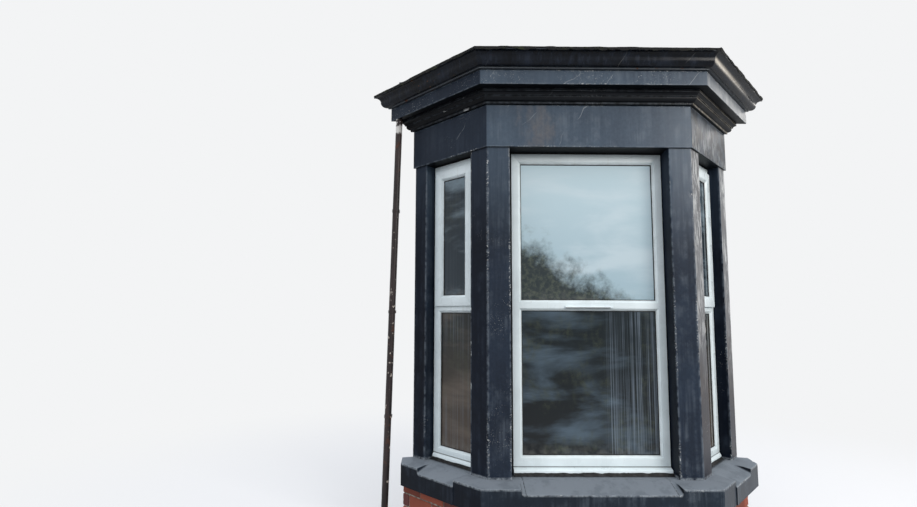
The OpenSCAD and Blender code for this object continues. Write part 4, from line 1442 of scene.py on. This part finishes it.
# The beads and the gasket of a light, with the frame's face at a depth
def glazing(light, face=0.0):
    front, rear, seal = [[[0, inset, face + depth] for inset, depth in section]
                         for section in (beadFront, beadRear, gasket)]
    return [ring(light, light, front, window["weld"]), ring(light, light, rear)], [ring(light, light, seal)]


# Section of a frame member: flat outside, with a softened outer arris
def memberSection(face, back):
    a = window["arris"]
    return [[0, 0, back], [0, 0, face + a], [0, 0.29 * a, face + 0.29 * a], [0, a, face],
            [1, 0, face], [1, 0, back]]


def shrunk(light, beside, low, high):
    return [light[0] + beside, light[1] - beside, light[2] + low, light[3] - high]


def makeWindows():
    w = window
    low, high = level["sillTop"] + w["cillHeight"], level["mullionTop"] - w["headGap"]
    transomLow, transomHigh = level["sillTop"] + w["transomLow"], level["sillTop"] + w["transomHigh"]
    member = memberSection(0, w["depth"])

    outer = [-w["frontWidth"] / 2, w["frontWidth"] / 2, low, high]
    left, right, bottom, top = opening = shrunk(outer, w["upright"], w["bottom"], w["top"])
    upper, upperSeal = glazing([left, right, transomHigh, top])
    lower, lowerSeal = glazing([left, right, bottom, transomLow])
    frontFrame = [ring(outer, opening, member, w["weld"]), bar(left, right, transomLow, transomHigh)]
    pieces = [("front_frame", frontFrame + upper + lower, "white_plastic", 0),
              ("front_gasket", upperSeal + lowerSeal, "seal", 0)]

    # A side window: a frame with a fixed light below, and a sash that stands proud above
    outer = [-w["sideWidth"] / 2, w["sideWidth"] / 2, low, high]
    sashLow = level["sillTop"] + w["sashLow"]
    sash = [outer[0] + w["sashInset"], outer[1] - w["sashInset"], sashLow, high - w["sashTop"]]
    left, right, holeLow, top = shrunk(sash, w["sashHole"], w["sashHole"], w["sashHole"])
    nearX, farX = outer[0] + w["sideUpright"], outer[1] - w["sideUpright"]
    bottom, middle = low + w["sideBottom"], sashLow - w["middle"]
    fixed, fixedSeal = glazing([nearX, farX, bottom, middle])
    sideFrame = [ring(outer, [left, right, bottom, top], member, w["weld"]),
                 bar(left, right, middle, holeLow), bar(left, nearX, bottom, middle),
                 bar(farX, right, bottom, middle), *fixed]
    proud, lap, back = -w["sashProud"], w["sashLap"], w["depth"] - w["sashProud"]
    sashLight = shrunk(sash, w["sashFace"], w["sashFace"], w["sashFace"])
    section = memberSection(proud, -0.002)[:-1] + [[1, 0, back], [0, lap, back], [0, lap, -0.002]]
    beads, sashSeal = glazing(sashLight, proud)
    sideSash = [ring(sash, sashLight, section, w["weld"]), *beads]
    lapSeal = ring(sash, sash, [[0, 0.003, 0], [0, 0.003, -0.002], [0, 0.009, -0.002], [0, 0.009, 0]])
    for side, sign in mirrored:
        pieces += [(side + "_frame", sideFrame, "white_plastic", sign),
                   (side + "_sash", sideSash, "white_plastic", sign),
                   (side + "_gasket", fixedSeal + sashSeal + [lapSeal], "seal", sign)]
    for node, shells, finish, sign in pieces:
        recess = np.concatenate([points[:, 1] for points, _ in shells])
        recess = recess - recess.min()
        recess = np.clip(recess / w["glassIn"], 0, 1) * (recess < w["glassIn"] + w["sashProud"])
        shape = together([(stood(points, sign), faces) for points, faces in shells])
        replaced = () if finish == "seal" else (node,)
        makePiece(node + "_profile", shape, finish, replaced, {"recess": recess}, crisp=35)


cill = {
    "frontOut": 0.032,
    "sideOut": 0.010,
    "nose": 0.031,
    "edge": 0.004,
    "arris": 0.0022,
    "ventWidth": 0.320,
    "ventHeight": 0.016,
    "ventOut": 0.012,
    "ventShare": 0.6,
    "ventArris": 0.0015,
    "beddingHeight": 0.019,
    "beddingOut": 0.013,
}
beddingSection = np.array([[0.004, 0.0], [-1.0, 0.0], [-0.92, 0.2], [-0.45, 0.72], [-0.1, 1.0],
                           [0.004, 1.0]])


# Bed of mastic in front of a cill: a fillet whose height and depth wander a little along the cill
def bedding(width, out, seed):
    x = np.linspace(-width / 2, width / 2, int(width / 0.008))
    place = gridPoints(x, float(seed), 0.0)
    size = 0.75 + 0.35 * lattice(place, 0.05, seed) + 0.15 * lattice(place, 0.014, seed + 1)
    depth = -out + size[:, None] * beddingSection[:, 0] * cill["beddingOut"]
    height = size[:, None] * beddingSection[:, 1] * cill["beddingHeight"] + level["sillTop"]
    return capped(gridPoints(x[:, None], depth, height))


def makeCills():
    c, w, edge = cill, window, cill["edge"]
    cills, beds = [], []
    for k, sign in enumerate((0, 1, -1)):
        width, out = (w["sideWidth"], c["sideOut"]) if sign else (w["frontWidth"], c["frontOut"])
        outline = [[w["depth"], 0], [edge - out, 0], [-out, edge], [-out, c["nose"]],
                   [edge - out, c["nose"] + edge], [0, w["cillHeight"]], [w["depth"], w["cillHeight"]]]
        soft, _ = softened(outline, c["arris"], 0.03)
        for made, (points, faces) in ((cills, drawnAcross(soft + [0, level["sillTop"]], width)),
                                      (beds, bedding(width, out, 60 + k))):
            made.append((stood(points, sign), faces))
    white, node = "white_plastic", "window_cills"
    makePiece(node + "_bedding", together(beds), "seal")
    makePiece(node + "_profile", together(cills), white, (node,), crisp=35)

    height, out, share = c["ventHeight"], c["ventOut"], c["ventShare"]
    outline = [[0, 0], [-out, 0], [-out, height * share], [-out * share, height], [0, height]]
    soft, _ = softened(outline, c["ventArris"], 0.03)
    points, faces = drawnAcross(soft + [0, level["sillTop"] + w["transomLow"]], c["ventWidth"])
    white, node, shape = "white_plastic", "trickle_vent", (stood(points, 0), faces)
    makePiece(node + "_hood", shape, white, (node,), crisp=35)


makeWindows()
makeCills()
print("Windows made")


# The camera stands to the left of the bay at eye level, and looks slightly up
camera = {
    "place": (-0.950, -3.3335, 1.5638),
    "yaw": 0.0077,
    "pitch": 0.0897,
    "roll": 0.0039,
    "lens": 19.318,
    "sensor": 36.0,
    "shiftX": 0.00889,
    "shiftY": 0.01641,
}


def makeCamera():
    yaw, pitch, roll = camera["yaw"], camera["pitch"], camera["roll"]
    ahead = Vector((math.sin(yaw) * math.cos(pitch), math.cos(yaw) * math.cos(pitch), math.sin(pitch)))
    across = Vector((math.cos(yaw), -math.sin(yaw), 0))
    upright = across.cross(ahead)
    right = math.cos(roll) * across + math.sin(roll) * upright
    top = math.cos(roll) * upright - math.sin(roll) * across
    data = bpy.data.cameras.new("viewpoint")
    data.lens = camera["lens"]
    data.sensor_width = camera["sensor"]
    data.sensor_fit = "HORIZONTAL"
    data.shift_x = camera["shiftX"]
    data.shift_y = camera["shiftY"]
    turn = Matrix((right, top, -ahead)).transposed()
    bpy.context.scene.camera = addObject("viewpoint", data, turn, camera["place"])


makeCamera()

# A pale floor that fades into a pale backdrop, a sky that is brighter on the left, a soft box at the
# front on the right and a weak one behind on the right, which skims the gutter's right side. Light
# that bounces off the floor is held low
studio = {
    "floorHalf": 60.0,
    "paper": tone(218, 219, 220),
    "bounce": tone(88, 88, 88),
    "backdrop": tone(243, 244, 245),
    "fadeStart": 1.8,
    "fadeEnd": 6.0,
    "skyLeft": 1.45,
    "skyRight": 1.0,
    "sky": tone(248, 250, 255),
    "lamp": tone(255, 250, 244),
    "lampTarget": (0.0, 0.0, 1.9),
    "softBox": {"place": (5.4, -6.0, 4.9), "size": (3.6, 2.6), "power": 360.0},
    "rimBox": {"place": (6.0, 2.9, 5.5), "size": (1.6, 1.6), "power": 32.0},
}


# 1 for rays from the camera, and for those that glass and metal send on, else 0
def seenRay(f):
    return f.most(*[f.node("ShaderNodeLightPath", output=name)
                    for name in ("Is Camera Ray", "Is Glossy Ray", "Is Transmission Ray")])


def makeFloor():
    s, half = studio, studio["floorHalf"]
    mesh = bpy.data.meshes.new("floor")
    corners = [(-half, -half, 0), (half, -half, 0), (half, half, 0), (-half, half, 0)]
    mesh.from_pydata(corners, [], [(0, 1, 2, 3)])
    f = Finish("floorPaper")
    coordinates = f.node("ShaderNodeTexCoord", output="Object")
    distance = f.node("ShaderNodeVectorMath", {"operation": "LENGTH"}, {0: coordinates}, "Value")
    far = f.between(distance, s["fadeStart"], s["fadeEnd"])
    paper = f.node("ShaderNodeBsdfDiffuse", None, {"Color": s["paper"]})
    bounce = f.node("ShaderNodeBsdfDiffuse", None, {"Color": s["bounce"]})
    glow = f.node("ShaderNodeEmission", None, {"Color": s["backdrop"]})
    shown = f.node("ShaderNodeMixShader", None, {0: far, 1: paper, 2: glow})
    mixed = f.node("ShaderNodeMixShader", None, {0: seenRay(f), 1: bounce, 2: shown})
    f.node("ShaderNodeOutputMaterial", None, {"Surface": mixed})
    mesh.materials.append(f.owner)
    floor = addObject("floor", mesh)


def makeWorld():
    s, world = studio, bpy.data.worlds.new("studio")
    bpy.context.scene.world = world
    f = Finish("studio", owner=world)
    strength = f.between(f.axis(0, "Generated"), -0.8, 0.8, s["skyLeft"], s["skyRight"])
    sky = f.node("ShaderNodeBackground", None, {"Color": s["sky"], "Strength": strength})
    shown = f.node("ShaderNodeBackground", None, {"Color": s["backdrop"]})
    mixed = f.node("ShaderNodeMixShader", None, {0: seenRay(f), 1: sky, 2: shown})
    f.node("ShaderNodeOutputWorld", None, {"Surface": mixed})


def makeLamp(name):
    lamp = studio[name]
    data = bpy.data.lights.new(name, "AREA")
    data.shape = "RECTANGLE"
    data.size, data.size_y = lamp["size"]
    data.energy = lamp["power"]
    data.color = studio["lamp"][:3]
    aim = (Vector(studio["lampTarget"]) - Vector(lamp["place"])).to_track_quat("-Z", "Y")
    addObject(name, data, aim.to_matrix(), lamp["place"])


makeFloor()
makeWorld()
makeLamp("softBox")
makeLamp("rimBox")
bpy.context.scene.view_settings.view_transform = "Standard"
print("Camera and lights set")
